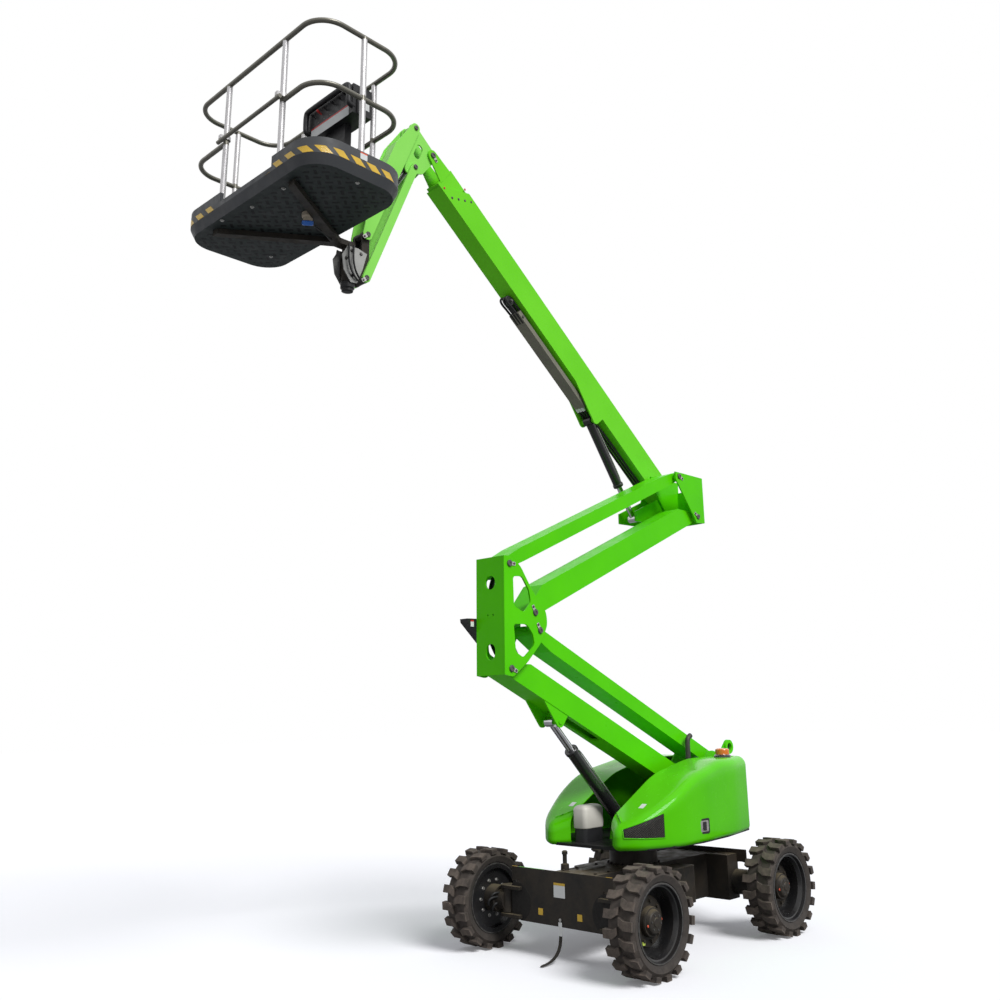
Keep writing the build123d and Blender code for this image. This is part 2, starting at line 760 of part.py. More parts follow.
# ---- upper boom ----
bracket_at = (1234.4, -209.7)
boom_cylinder_pin = on_boom(*bracket_at)
head_at = (head_reach, head_rise)
mouth_slant = 235
half_height = boom_height / 2
cavity_start = 300
boom_bracket_plate = 12
pad_length = 90
inner_width = boom_width - 2 * boom_wall - 2 * inner_gap
inner_height = boom_height - 2 * boom_wall - 2 * inner_gap
with BuildPart() as boom:
    with BuildSketch(at_pin(boom_pivot, boom_near, boom_angle)):
        with BuildLine():
            Polyline(
                (0, -half_height * 0.7),
                (boom_foot, -half_height),
                (boom_mouth, -half_height),
                (boom_mouth - mouth_slant, half_height),
                (boom_foot, half_height),
                (0, half_height * 0.7),
                (-half_height * 0.6, 0),
                close=True,
            )
        make_face()
        Circle(bore_radius, mode=Mode.SUBTRACT)
    extrude(amount=boom_width)
    with BuildSketch(at_pin(boom_pivot, boom_near - boom_wall, boom_angle)):
        with Locations((cavity_start, 0)):
            Rectangle(boom_mouth, boom_height - 2 * boom_wall, align=(Align.MIN, Align.CENTER))
    extrude(amount=boom_width - 2 * boom_wall, mode=Mode.SUBTRACT)
    for y_outer in (boom_near, boom_far + boom_bracket_plate):
        with BuildSketch(at_pin(boom_pivot, y_outer, boom_angle)):
            with Locations(bracket_at):
                Circle(48)
            with Locations((bracket_at[0] - 60, 10 - half_height), (bracket_at[0] + 430, 10 - half_height)):
                Circle(10)
            make_hull()
        extrude(amount=boom_bracket_plate)
    with BuildSketch(at_pin(boom_pivot, boom_near - boom_wall + 1, boom_angle)):
        with Locations((boom_mouth - mouth_slant - pad_length, 0)):
            Rectangle(pad_length, boom_height - 2 * boom_wall + 2)
            Rectangle(pad_length, inner_height + 2 * running_clearance, mode=Mode.SUBTRACT)
    extrude(amount=boom_width - 2 * boom_wall + 2)
    with BuildSketch(at_pin(boom_pivot, boom_near - boom_wall + 1, boom_angle)):
        with Locations((boom_mouth - mouth_slant - pad_length, 0)):
            Rectangle(pad_length, inner_height - 60)
    extrude(amount=1 + inner_gap - running_clearance)
    with BuildSketch(at_pin(boom_pivot, boom_far + boom_wall + inner_gap - running_clearance, boom_angle)):
        with Locations((boom_mouth - mouth_slant - pad_length, 0)):
            Rectangle(pad_length, inner_height - 60)
    extrude(amount=1 + inner_gap - running_clearance)
    add(cross_pin(boom_cylinder_pin, boom_far, boom_near, pin_radius))
save(boom, "boom_outer")

inner_start = 420
inner_wall = 7
head_back = 200
head_plate = 12
head_half = 78
head_radius = 52
with BuildPart() as boom_inner:
    with BuildSketch(at_pin(boom_pivot, boom_y + inner_width / 2, boom_angle)):
        with Locations((inner_start, 0)):
            Rectangle(head_at[0] - head_back - inner_start, inner_height, align=(Align.MIN, Align.CENTER))
    extrude(amount=inner_width)
    with BuildSketch(at_pin(boom_pivot, boom_y + inner_width / 2 - inner_wall, boom_angle)):
        with Locations((inner_start, 0)):
            Rectangle(head_at[0], inner_height - 2 * inner_wall, align=(Align.MIN, Align.CENTER))
    extrude(amount=inner_width - 2 * inner_wall, mode=Mode.SUBTRACT)
    for y_outer in (boom_y + head_half, boom_y - head_half + head_plate):
        with BuildSketch(at_pin(boom_pivot, y_outer, boom_angle)):
            with Locations(head_at):
                Circle(head_radius)
            with Locations((boom_mouth + 20, -70), (boom_mouth + 20, 90)):
                Circle(10)
            make_hull()
        extrude(amount=head_plate)
    add(cross_pin(head_pin, boom_y - head_half, boom_y + head_half, pin_radius))
save(boom_inner, "boom_inner")

tray_drop = 60
tray_height = 46
tray_start, tray_end = 1400, 2560
with BuildPart() as tray:
    with BuildSketch(at_pin(boom_pivot, boom_near - 30, boom_angle)):
        with Locations(((tray_start + tray_end) / 2, -half_height - tray_drop)):
            Rectangle(tray_end - tray_start, tray_height)
    extrude(amount=boom_width - 60)
    for offset in (tray_start + 150, tray_end - 150):
        with BuildSketch(at_pin(boom_pivot, boom_near - 60, boom_angle)):
            with Locations((offset, -half_height - tray_drop / 2)):
                Rectangle(60, tray_drop)
        extrude(amount=boom_width - 120)
save(tray, "cable_tray")

# ---- level link that carries the jib, jib arms and the basket's post ----
link_half = 58
link_plate = 14
jib_half = 84
jib_plate = 10
jib_pin_radius = 18
small_bore = jib_pin_radius + pin_clearance
jib_boss = jib_half - jib_plate - running_clearance
tie_bar = 20
tie_boss = jib_half - tie_bar - running_clearance
head_offset = (head_pin[0] - jib_root[0], head_pin[1] - jib_root[1])
jib_cylinder_foot = plus(jib_root, (59, -414))
jib_cylinder_eye = plus(jib_root, along(jib_angle, 1000))
jib_eye_half = 24
jib_flange_rise = 90
jib_web_rise, jib_web_thickness = 92, 8
with BuildPart() as head_link:
    for y_outer in (boom_y + link_half, boom_y - link_half + link_plate):
        with BuildSketch(at_pin(jib_root, y_outer)):
            Circle(46)
            with Locations(head_offset):
                Circle(head_radius)
            with Locations((0, -jib_pin_spacing)):
                Circle(42)
            with Locations((-85, 10 - jib_pin_spacing)):
                Circle(30)
            with Locations((jib_cylinder_foot[0] - jib_root[0], jib_cylinder_foot[1] - jib_root[1])):
                Circle(34)
            make_hull()
            with Locations((-50, -200)):
                SlotOverall(150, 70, rotation=-70, mode=Mode.SUBTRACT)
            with Locations(head_offset):
                Circle(bore_radius, mode=Mode.SUBTRACT)
        extrude(amount=link_plate)
    for pin, boss in ((jib_root, jib_boss), (jib_low_root, tie_boss)):
        add(cross_pin(pin, boom_y - boss, boom_y + boss, 36))
        add(cross_pin(pin, boom_y - jib_half - 3, boom_y + jib_half + 3, jib_pin_radius))
    add(cross_pin(jib_cylinder_foot, boom_y - link_half, boom_y + link_half, jib_pin_radius))
save(head_link, "head_link")

eye_stub_inner = jib_eye_half + running_clearance
with BuildPart() as jib:
    for y_outer in (boom_y + jib_half, boom_y - jib_half + jib_plate):
        with BuildSketch(at_pin(jib_root, y_outer, jib_angle)):
            Circle(44)
            with Locations((jib_length, 0)):
                Circle(44)
            with Locations((300, jib_flange_rise), (jib_length - 320, jib_flange_rise)):
                Circle(20)
            make_hull()
            with Locations((0, 0), (jib_length, 0)):
                Circle(small_bore, mode=Mode.SUBTRACT)
        extrude(amount=jib_plate)
    with BuildSketch(at_pin(jib_root, boom_y + jib_half - jib_plate, jib_angle)):
        with Locations((jib_length / 2 - 30, jib_web_rise)):
            Rectangle(jib_length - 560, jib_web_thickness)
    extrude(amount=2 * jib_half - 2 * jib_plate)
    for side in (-1, 1):
        low, high = sorted((boom_y + side * eye_stub_inner, boom_y + side * (jib_half - jib_plate)))
        with BuildSketch(at_pin(jib_cylinder_eye, high)):
            Circle(16)
        extrude(amount=high - low)
save(jib, "jib_arm")

with BuildPart() as jib_tie:
    for y_outer in (boom_y + jib_half, boom_y - jib_half + tie_bar):
        with BuildSketch(at_pin(jib_low_root, y_outer, jib_angle)):
            with Locations((jib_length / 2, 0)):
                SlotCenterToCenter(jib_length, 72)
            with Locations((0, 0), (jib_length, 0)):
                Circle(small_bore, mode=Mode.SUBTRACT)
        extrude(amount=tie_bar)
save(jib_tie, "jib_tie")

turn_post_radius = 52
post_low = jib_tip[1] - 434
frame_height = 44
post_high = basket_floor_z - frame_height - pin_clearance
end_offset_x = turn_axis_x - jib_tip[0]
with BuildPart() as jib_end:
    for y_outer in (boom_y + link_half, boom_y - link_half + link_plate):
        with BuildSketch(at_pin(jib_tip, y_outer)):
            Circle(36)
            with Locations((0, -jib_pin_spacing)):
                Circle(36)
            make_hull()
        extrude(amount=link_plate)
        with BuildSketch(at_pin(jib_tip, y_outer)):
            with Locations((0, -jib_pin_spacing), (0, -230), (end_offset_x, -370), (end_offset_x, -230)):
                Circle(36)
            make_hull()
        extrude(amount=link_plate)
    with BuildSketch(Plane.XY.offset(post_low)):
        with Locations((turn_axis_x, boom_y)):
            Circle(turn_post_radius)
    extrude(amount=post_high - post_low)
    for pin, boss in ((jib_tip, jib_boss), (jib_low_tip, tie_boss)):
        add(cross_pin(pin, boom_y - boss, boom_y + boss, 34))
        add(cross_pin(pin, boom_y - jib_half - 3, boom_y + jib_half + 3, jib_pin_radius))
save(jib_end, "jib_end")

# ---- basket ----
beam_spread = 520
beam_reach = 330
beam_root = 150
with BuildPart() as under_frame:
    with BuildSketch(Plane.XY.offset(basket_floor_z - frame_height)):
        with Locations((turn_axis_x, boom_y)):
            Circle(turn_post_radius)
            Rectangle(beam_root, 90, align=(Align.MIN, Align.CENTER))
        for side in (-1, 1):
            with BuildLine():
                Polyline(
                    (turn_axis_x + beam_root - 40, boom_y - side * 45),
                    (turn_axis_x + beam_root - 40, boom_y + side * 45),
                    (basket_centre_x + beam_reach, boom_y + side * (beam_spread + 35)),
                    (basket_centre_x + beam_reach, boom_y + side * (beam_spread - 35)),
                    close=True,
                )
            make_face()
    extrude(amount=frame_height)
save(under_frame, "under_frame")

pan_wall = 14
pan_floor = 55
mat_thickness = 4
mat_margin = 12
mat_corner = 60
console_depth = 170
console_foot = 60
pan_draft = 35
draft_height = 70
rail_inset = 40
entry_low = -331
entry_high = 449
basket_near_x = basket_centre_x + basket_depth / 2
rail_near_x = basket_near_x - rail_inset
rail_far_x = basket_centre_x - basket_depth / 2 + rail_inset
rail_half_y = basket_length / 2 - rail_inset
post_places = (
    # x, y
    (rail_near_x, boom_y + entry_high),
    (rail_near_x, boom_y + entry_low),
    (basket_centre_x, boom_y + rail_half_y),
    (basket_centre_x, boom_y - rail_half_y),
    (rail_far_x, boom_y + 480),
    (rail_far_x, boom_y - 480),
)
rail_z = basket_floor_z + rail_height
mid_z = basket_floor_z + mid_rail_height
console_x = rail_far_x + post_radius + pin_clearance + console_depth / 2
mat_far_x = console_x + console_foot / 2 + mat_margin
mat_near_x = rail_near_x - post_radius - mat_margin
mat_half_y = rail_half_y - post_radius - mat_margin

with BuildPart() as pan:
    for height, inset in ((0, pan_draft), (draft_height, 0)):
        with BuildSketch(Plane.XY.offset(basket_floor_z + height)):
            with Locations((basket_centre_x, boom_y)):
                RectangleRounded(basket_depth - 2 * inset, basket_length - 2 * inset, basket_corner - inset)
    loft(ruled=True)
    with BuildSketch(Plane.XY.offset(basket_floor_z + draft_height)):
        with Locations((basket_centre_x, boom_y)):
            RectangleRounded(basket_depth, basket_length, basket_corner)
    extrude(amount=pan_height - draft_height)
    pan_inset = pan_wall + 15
    with BuildSketch(Plane.XY.offset(basket_floor_z + pan_floor)):
        with Locations((basket_centre_x, boom_y)):
            RectangleRounded(basket_depth - 2 * pan_inset, basket_length - 2 * pan_inset, basket_corner - pan_inset)
    extrude(amount=pan_height, mode=Mode.SUBTRACT)
    with BuildSketch(Plane.XY.offset(basket_floor_z + entry_lip)):
        with Locations((basket_near_x, boom_y + (entry_low + entry_high) / 2)):
            Rectangle(200, entry_high - entry_low - 80)
    extrude(amount=pan_height, mode=Mode.SUBTRACT)
    with BuildSketch(Plane.XY.offset(basket_floor_z + pan_floor)):
        with Locations(*post_places):
            Circle(post_radius + pin_clearance)
    extrude(amount=pan_height, mode=Mode.SUBTRACT)
    with BuildSketch(Plane.XY.offset(basket_floor_z + pan_floor - 1)):
        with Locations(((mat_far_x + mat_near_x) / 2, boom_y)):
            RectangleRounded(mat_near_x - mat_far_x, 2 * mat_half_y, mat_corner)
    extrude(amount=mat_thickness + 1)
save(pan, "basket_pan")


def rail_loop(z, ends):
    """Tube loop round the basket, closed, or open across the front between two ends."""
    corners = [(rail_near_x, rail_half_y), (rail_far_x, rail_half_y), (rail_far_x, -rail_half_y), (rail_near_x, -rail_half_y)]
    if ends:
        corners = [(rail_near_x, ends[0]), *corners, (rail_near_x, ends[1])]
    with BuildPart() as loop:
        with BuildLine() as path:
            FilletPolyline(
                *[(x, boom_y + y, z) for x, y in corners],
                radius=basket_corner - rail_inset,
                close=not ends,
            )
        with BuildSketch(Plane(origin=path.line @ 0, z_dir=path.line % 0)):
            Circle(rail_radius)
        sweep()
    return loop.part


loops = (rail_loop(rail_z, ()), rail_loop(mid_z, (entry_high, entry_low)))
with BuildPart() as rails:
    for loop in loops:
        add(loop)
    with BuildSketch(Plane.XY.offset(basket_floor_z + pan_floor)):
        with Locations(*post_places):
            Circle(post_radius)
    extrude(amount=rail_height - pan_floor)
save(rails, "basket_rails")

bar_radius = 16
bar_out = 48
collar_height = 30
collar_radius = 32
with BuildPart() as bar:
    with BuildSketch(Plane(origin=(rail_near_x + bar_out, boom_y + entry_low - 40, mid_z), z_dir=(0, 1, 0))):
        Circle(bar_radius)
    extrude(amount=entry_high - entry_low + 80)
    for y_off in (entry_high, entry_low):
        with BuildSketch(Plane.XY.offset(mid_z + rail_radius + running_clearance)):
            with Locations((rail_near_x, boom_y + y_off)):
                Circle(collar_radius)
            with Locations((rail_near_x + bar_out / 2, boom_y + y_off)):
                Rectangle(bar_out, 34)
            with Locations((rail_near_x, boom_y + y_off)):
                Circle(post_radius + running_clearance, mode=Mode.SUBTRACT)
        extrude(amount=collar_height)
        with BuildSketch(Plane.XY.offset(mid_z)):
            with Locations((rail_near_x + bar_out, boom_y + y_off)):
                Rectangle(20, 34)
        extrude(amount=rail_radius + collar_height)
save(bar, "drop_bar")

console_offset_y = 175
console_y = boom_y + console_offset_y
stalk_width, stalk_height = 260, 765
panel_width, panel_height = 600, 250
with BuildPart() as console:
    with BuildSketch(Plane.XY.offset(basket_floor_z + pan_floor)):
        with Locations((console_x, console_y)):
            Rectangle(console_foot, stalk_width)
    extrude(amount=stalk_height)
    with BuildSketch(Plane.XY.offset(basket_floor_z + pan_floor + stalk_height)):
        with Locations((console_x, console_y)):
            Rectangle(console_depth, panel_width)
    extrude(amount=panel_height)
save(console, "console")

# ---- cylinders: a barrel with its eye on a pin and a rod with an eye at its far end ----
cylinders = (
    # name, barrel's pin, rod's eye, y, barrel radius, rod radius, barrel length, rod start, eye half width
    ("riser_cylinder", cylinder_foot, riser_pin, 0, riser_barrel_radius, riser_rod_radius, 930, 350, eye_half),
    ("boom_cylinder", boom_cylinder_pin, boom_cylinder_foot, boom_y, boom_barrel_radius, boom_rod_radius, 732, 394, eye_half),
    ("jib_cylinder", jib_cylinder_foot, jib_cylinder_eye, boom_y, jib_barrel_radius, jib_rod_radius, 524, 96, jib_eye_half),
)
for name, foot, eye, y, barrel_r, rod_r, barrel_length, rod_start, half in cylinders:
    reach = hypot(eye[0] - foot[0], eye[1] - foot[1])
    lean = atan2(eye[1] - foot[1], eye[0] - foot[0])
    axis = Plane(origin=(foot[0], y, foot[1]), x_dir=(0, 1, 0), z_dir=(cos(lean), 0, sin(lean)))
    eye_pin = jib_pin_radius if name == "jib_cylinder" else pin_radius
    rod_eye = rod_r + 8
    with BuildPart() as barrel:
        with BuildSketch(axis.offset(30)):
            Circle(barrel_r)
        extrude(amount=barrel_length - 30)
        with BuildSketch(axis.offset(barrel_r + 15)):
            Circle(rod_r + running_clearance)
        extrude(amount=barrel_length, mode=Mode.SUBTRACT)
        with BuildSketch(at_pin(foot, y + half)):
            Circle(barrel_r)
        extrude(amount=2 * half)
        with BuildSketch(at_pin(foot, y + half)):
            Circle(eye_pin + pin_clearance)
        extrude(amount=2 * half, mode=Mode.SUBTRACT)
    save(barrel, f"{name}_barrel")
    with BuildPart() as rod:
        with BuildSketch(axis.offset(rod_start)):
            Circle(rod_r)
        extrude(amount=reach - rod_start)
        with BuildSketch(at_pin(eye, y + half)):
            Circle(rod_eye)
        extrude(amount=2 * half)
    save(rod, f"{name}_rod")
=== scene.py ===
import json
from math import atan2, ceil, cos, pi, radians, sin, tan

import bmesh
import bpy
from mathutils import Matrix, Vector


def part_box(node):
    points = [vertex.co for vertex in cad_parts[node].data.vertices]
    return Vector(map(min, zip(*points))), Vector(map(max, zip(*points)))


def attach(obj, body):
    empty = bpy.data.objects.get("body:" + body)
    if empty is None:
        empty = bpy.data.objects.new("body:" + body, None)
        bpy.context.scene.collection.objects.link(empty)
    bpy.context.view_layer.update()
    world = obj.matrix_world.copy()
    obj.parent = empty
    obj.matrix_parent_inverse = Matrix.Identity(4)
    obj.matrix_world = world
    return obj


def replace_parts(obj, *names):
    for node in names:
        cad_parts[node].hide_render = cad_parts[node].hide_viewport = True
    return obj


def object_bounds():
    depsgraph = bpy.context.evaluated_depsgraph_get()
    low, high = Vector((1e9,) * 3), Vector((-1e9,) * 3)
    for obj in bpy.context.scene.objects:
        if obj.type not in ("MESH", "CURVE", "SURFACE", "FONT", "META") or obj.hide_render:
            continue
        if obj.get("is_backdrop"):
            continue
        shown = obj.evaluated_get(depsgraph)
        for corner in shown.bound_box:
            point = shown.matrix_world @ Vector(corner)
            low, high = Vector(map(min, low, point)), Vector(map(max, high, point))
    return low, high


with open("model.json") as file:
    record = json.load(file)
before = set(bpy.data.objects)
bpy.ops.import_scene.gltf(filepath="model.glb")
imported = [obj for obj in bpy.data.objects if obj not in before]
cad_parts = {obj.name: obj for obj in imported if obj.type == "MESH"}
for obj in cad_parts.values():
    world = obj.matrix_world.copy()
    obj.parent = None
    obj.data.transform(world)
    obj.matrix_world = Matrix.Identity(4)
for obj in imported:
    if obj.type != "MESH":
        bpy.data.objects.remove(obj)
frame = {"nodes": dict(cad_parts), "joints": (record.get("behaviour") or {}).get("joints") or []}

# Looks of an articulating boom lift, in metres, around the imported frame.
cad_box = [list(corner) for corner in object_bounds()]
nodes = frame["nodes"]
AHEAD, LEFT, RIGHT, UP, DOWN = (1, 0, 0), (0, 1, 0), (0, -1, 0), (0, 0, 1), (0, 0, -1)
BOOM_Y = -0.275
BOOM_LEAN = radians(38.46)
BOOM_PIVOT = Vector((-1.03, BOOM_Y, 4.0404))
AXLE_X, AXLE_Z = 0.935, 0.3865
DECK_Z = 0.6202
PLATE_FRONT = 0.9552
PINS = {
    # joint: x, z
    "knuckle_foot": (1.6349, 2.2222), "knuckle_tie": (1.2999, 2.5292), "knuckle_top": (1.6459, 3.0442),
    "knuckle_second": (1.3539, 2.6702), "top_tie": (-0.793, 4.1454), "top_main": (-1.085, 3.7714),
    "boom_foot": (-1.03, 4.0404), "head": (2.1784, 6.6349), "jib_root": (2.3814, 6.8139),
    "jib_low_root": (2.3814, 6.4339), "jib_tip": (2.8621, 5.6243), "jib_low_tip": (2.8621, 5.2443),
}

# ---- camera ----
EYE = Vector((7.2316, 5.6798, 1.9004))
YAW, PITCH, ROLL = 3.88831, 0.261883, -0.0205782
LENS, SENSOR, SHIFT_X, SHIFT_Y = 35.44, 36, -0.0392, -0.0534


def shown(name, data):
    """New object in the scene."""
    made = bpy.data.objects.new(name, data)
    bpy.context.scene.collection.objects.link(made)
    return made


def add_camera():
    forward = Vector((cos(PITCH) * cos(YAW), cos(PITCH) * sin(YAW), sin(PITCH)))
    level_right = forward.cross(Vector(UP)).normalized()
    level_up = level_right.cross(forward)
    right = cos(ROLL) * level_right + sin(ROLL) * level_up
    up = cos(ROLL) * level_up - sin(ROLL) * level_right
    data = bpy.data.cameras.new("camera")
    data.lens, data.sensor_width = LENS, SENSOR
    data.shift_x, data.shift_y = SHIFT_X, SHIFT_Y
    data.clip_end = 200
    camera = shown("camera", data)
    turn = Matrix((right, up, -forward)).transposed().to_4x4()
    camera.matrix_world = Matrix.Translation(EYE) @ turn
    bpy.context.scene.camera = camera


add_camera()


# ---- finishes ----
class Finish:
    """Node tree of one finish, its patterns read in the piece's own coordinates."""

    def __init__(self, name, colour, roughness=0.5, metallic=0.0):
        self.material = bpy.data.materials.new(name)
        self.material.use_nodes = True
        self.tree = self.material.node_tree
        self.shader = self.tree.nodes["Principled BSDF"]
        self.place = self.add("TexCoord").outputs["Object"]
        self.colour = (*colour, 1)
        self.set(Base_Color=self.colour, Roughness=roughness, Metallic=metallic)

    def link(self, source, target):
        if hasattr(source, "links"):
            self.tree.links.new(source, target)
        else:
            target.default_value = source

    def add(self, kind, **inputs):
        """New shader node, its inputs given by name as values or as sockets to link."""
        node = self.tree.nodes.new("ShaderNode" + kind)
        for name, value in inputs.items():
            self.link(value, node.inputs[name.replace("_", " ")])
        return node

    def set(self, **values):
        for name, value in values.items():
            self.shader.inputs[name.replace("_", " ")].default_value = value

    def maths(self, kind, *values):
        node = self.add("Math")
        node.operation = kind
        for socket, value in zip(node.inputs, (*values, 0.0, 0.0)):
            self.link(value, socket)
        return node.outputs[0]

    def axis(self, name):
        return self.add("SeparateXYZ", Vector=self.place).outputs[name]

    def facing(self, name):
        """Component of the true normal along one axis, from -1 to 1."""
        normal = self.add("NewGeometry").outputs["True Normal"]
        return self.add("SeparateXYZ", Vector=normal).outputs[name]

    def noise(self, scale, detail=4, roughness=0.55, stretch=(1, 1, 1)):
        place = self.add("Mapping", Scale=stretch, Vector=self.place).outputs[0]
        node = self.add("TexNoise", Vector=place, Scale=scale, Detail=detail, Roughness=roughness)
        return node.outputs["Fac"]

    def step(self, value, low, high, to=(0.0, 1.0)):
        """First end of to below low, its second end above high, even between them."""
        node = self.add("MapRange", Value=value, From_Min=low, From_Max=high, To_Min=to[0], To_Max=to[1])
        return node.outputs["Result"]

    def patches(self, scale, detail, low, high, roughness=0.55, stretch=(1, 1, 1)):
        """Noise cut to a mask between two levels."""
        return self.step(self.noise(scale, detail, roughness, stretch), low, high)

    def band(self, value, low, high, soft=0.001):
        rise = self.step(value, low - soft, low + soft)
        fall = self.step(value, high - soft, high + soft)
        return self.maths("SUBTRACT", rise, fall)

    def both(self, *masks):
        result = masks[0]
        for mask in masks[1:]:
            result = self.maths("MULTIPLY", result, mask)
        return result

    def tint(self, mask, colour, share=1.0):
        """Lay another colour over what is there, by a share of a mask."""
        node = self.add("Mix")
        node.data_type = "RGBA"
        self.link(mask if share == 1.0 else self.maths("MULTIPLY", mask, share), node.inputs[0])
        self.link(self.colour, node.inputs[6])
        self.link((*colour, 1), node.inputs[7])
        self.colour = node.outputs[2]
        self.link(self.colour, self.shader.inputs["Base Color"])

    def roughen(self, pattern, low, high):
        self.link(self.step(pattern, 0.3, 0.7, (low, high)), self.shader.inputs["Roughness"])

    def bump(self, height, strength, distance=0.001):
        node = self.add("Bump", Strength=strength, Distance=distance, Height=height)
        normal = self.shader.inputs["Normal"]
        if normal.is_linked:
            self.link(normal.links[0].from_socket, node.inputs["Normal"])
        self.link(node.outputs[0], normal)


def painted(name, colour, shade, gloss=0.34, coat=0.03, dirt=0.1):
    """Sprayed paint: slow colour drift, orange peel, fine scuffs and dust on what faces up."""
    look = Finish(name, colour, gloss)
    look.tint(look.patches(1.7, 3, 0.35, 0.8), shade)
    scuffs = look.patches(38, 6, 0.66, 0.74, 0.7, (1, 1, 0.3))
    look.tint(scuffs, tuple(0.6 * part + 0.05 for part in colour), 0.35 * dirt)
    dust = look.both(look.patches(5, 5, 0.45, 0.75, 0.6), look.step(look.facing("Z"), 0.2, 0.9))
    look.tint(dust, (0.42, 0.4, 0.33), dirt)
    look.roughen(look.noise(14, 4, 0.6), gloss - 0.07, gloss + 0.1)
    look.bump(look.noise(260, 2), 0.06, 0.0006)
    look.bump(look.noise(9, 2), 0.08, 0.002)
    look.set(Coat_Weight=coat, Coat_Roughness=0.08, Specular_IOR_Level=0.08)
    return look


def hood_paint():
    """Moulded hood: deep gloss, with a painted sky highlight that makes what faces up paler."""
    look = painted("hood_paint", (0.1, 0.6, 0.002), (0.08, 0.53, 0.002), 0.2, 0.16, 0.0)
    # painted highlight: faces that point up are tinted paler green, standing in for the sky's light on the gloss
    look.tint(look.step(look.facing("Z"), 0.55, 1.0), (0.3, 0.7, 0.1), 0.12)
    return look


def turntable_paint():
    """Green tower and lugs over a black turning base."""
    look = painted("turntable_paint", (0.09, 0.56, 0.006), (0.07, 0.48, 0.005))
    look.tint(look.band(look.axis("Z"), 0.7, 0.8225, 0.0004), (0.02, 0.02, 0.02))
    return look


def frame_black():
    """Black chassis paint under a film of brown dust, thicker on decks."""
    look = Finish("frame_black", (0.019, 0.018, 0.017), 0.5)
    look.tint(look.patches(6, 6, 0.32, 0.8, 0.65), (0.075, 0.057, 0.038), 0.55)
    deck = look.both(look.step(look.facing("Z"), 0.5, 0.95), look.patches(4, 5, 0.2, 0.6, 0.6))
    look.tint(deck, (0.17, 0.14, 0.09), 0.75)
    look.tint(look.patches(70, 8, 0.62, 0.7, 0.75), (0.16, 0.13, 0.1), 0.3)
    look.roughen(look.noise(11, 5), 0.32, 0.7)
    look.bump(look.noise(180, 4), 0.18, 0.001)
    look.set(Coat_Weight=0.03, Coat_Roughness=0.3, Specular_IOR_Level=0.2)
    return look


def wheel_radius(look):
    """Distance from the nearer axle, seen from the side."""
    across = look.maths("SUBTRACT", look.maths("ABSOLUTE", look.axis("X")), AXLE_X)
    rise = look.maths("SUBTRACT", look.axis("Z"), AXLE_Z)
    squares = [look.maths("MULTIPLY", part, part) for part in (across, rise)]
    return look.maths("SQRT", look.maths("ADD", *squares))


def tyre_rubber():
    """Worn rubber: dusty brown lug tops, darker grooves and side walls."""
    look = Finish("tyre_rubber", (0.031, 0.026, 0.023), 0.85)
    radius = wheel_radius(look)
    worn = look.patches(12, 6, 0.25, 0.72, 0.7)
    look.tint(look.both(look.step(radius, 0.366, 0.383), worn), (0.185, 0.145, 0.118), 0.9)
    look.tint(look.both(look.band(radius, 0.33, 0.368, 0.012), worn), (0.115, 0.09, 0.074), 0.65)
    side = look.both(look.band(radius, 0.285, 0.345, 0.01), look.patches(22, 6, 0.35, 0.75, 0.7))
    look.tint(side, (0.085, 0.068, 0.055), 0.45)
    look.roughen(look.noise(18, 5), 0.72, 0.95)
    look.bump(look.noise(120, 6, 0.7), 0.5, 0.0015)
    look.bump(look.maths("SINE", look.maths("MULTIPLY", radius, 900)), 0.12, 0.0006)
    return look


def rim_black():
    """Black wheel with a bright edge on its flange: partly worn paint, partly a painted highlight."""
    look = Finish("rim_black", (0.013, 0.013, 0.014), 0.26)
    radius = wheel_radius(look)
    # worn edge and painted highlight: the flange ring is tinted brighter in patches, as wear and in place of the bright
    # reflections along the rim
    edge = look.both(look.step(radius, 0.262, 0.268), look.patches(30, 5, 0.3, 0.6, 0.7))
    look.tint(edge, (0.2, 0.19, 0.18), 0.5)
    dust = look.both(look.patches(10, 5, 0.4, 0.8), look.step(radius, 0.05, 0.25))
    look.tint(dust, (0.05, 0.04, 0.03), 0.2)
    look.roughen(look.noise(9, 3), 0.24, 0.4)
    look.bump(look.noise(40, 2), 0.03, 0.0006)
    look.set(Coat_Weight=0.3, Coat_Roughness=0.2, Specular_IOR_Level=0.4)
    return look


def plain(name, colour, roughness, metallic=0.0, spread=0.35, grain=0.15, scale=24, coat=0.0):
    """Moulded, cast or machined finish with a colour drift, uneven gloss and a fine grain."""
    look = Finish(name, colour, roughness, metallic)
    look.tint(look.patches(scale * 0.3, 5, 0.3, 0.75), tuple(part * (1 - spread) for part in colour))
    specks = look.patches(scale * 4, 6, 0.62, 0.72, 0.7)
    look.tint(specks, tuple(min(1, part * 1.6 + 0.02) for part in colour), 0.2)
    look.roughen(look.noise(scale, 4), max(0.04, roughness - 0.1), min(1, roughness + 0.12))
    look.bump(look.noise(scale * 9, 3), grain, 0.0008)
    if coat:
        look.set(Coat_Weight=coat, Coat_Roughness=0.08)
    if not metallic:
        look.set(Specular_IOR_Level=0.3)
    return look


def beacon_finish():
    """Clear orange lamp over a dark foot."""
    look = plain("beacon_lamp", (0.85, 0.2, 0.01), 0.18, spread=0.2, grain=0.03, coat=0.8)
    look.bump(look.maths("SINE", look.maths("MULTIPLY", look.axis("Z"), 900)), 0.25, 0.001)
    foot = look.step(look.axis("Z"), 1.4775, 1.4785, (1.0, 0.0))
    look.tint(foot, (0.025, 0.025, 0.027))
    return look


def exhaust_finish():
    """Dull steel, darker towards its hot end."""
    look = plain("exhaust_steel", (0.085, 0.082, 0.078), 0.55, 0.6, 0.5, 0.2, 40)
    look.tint(look.step(look.axis("Z"), 1.4, 1.66), (0.04, 0.036, 0.033), 0.5)
    return look


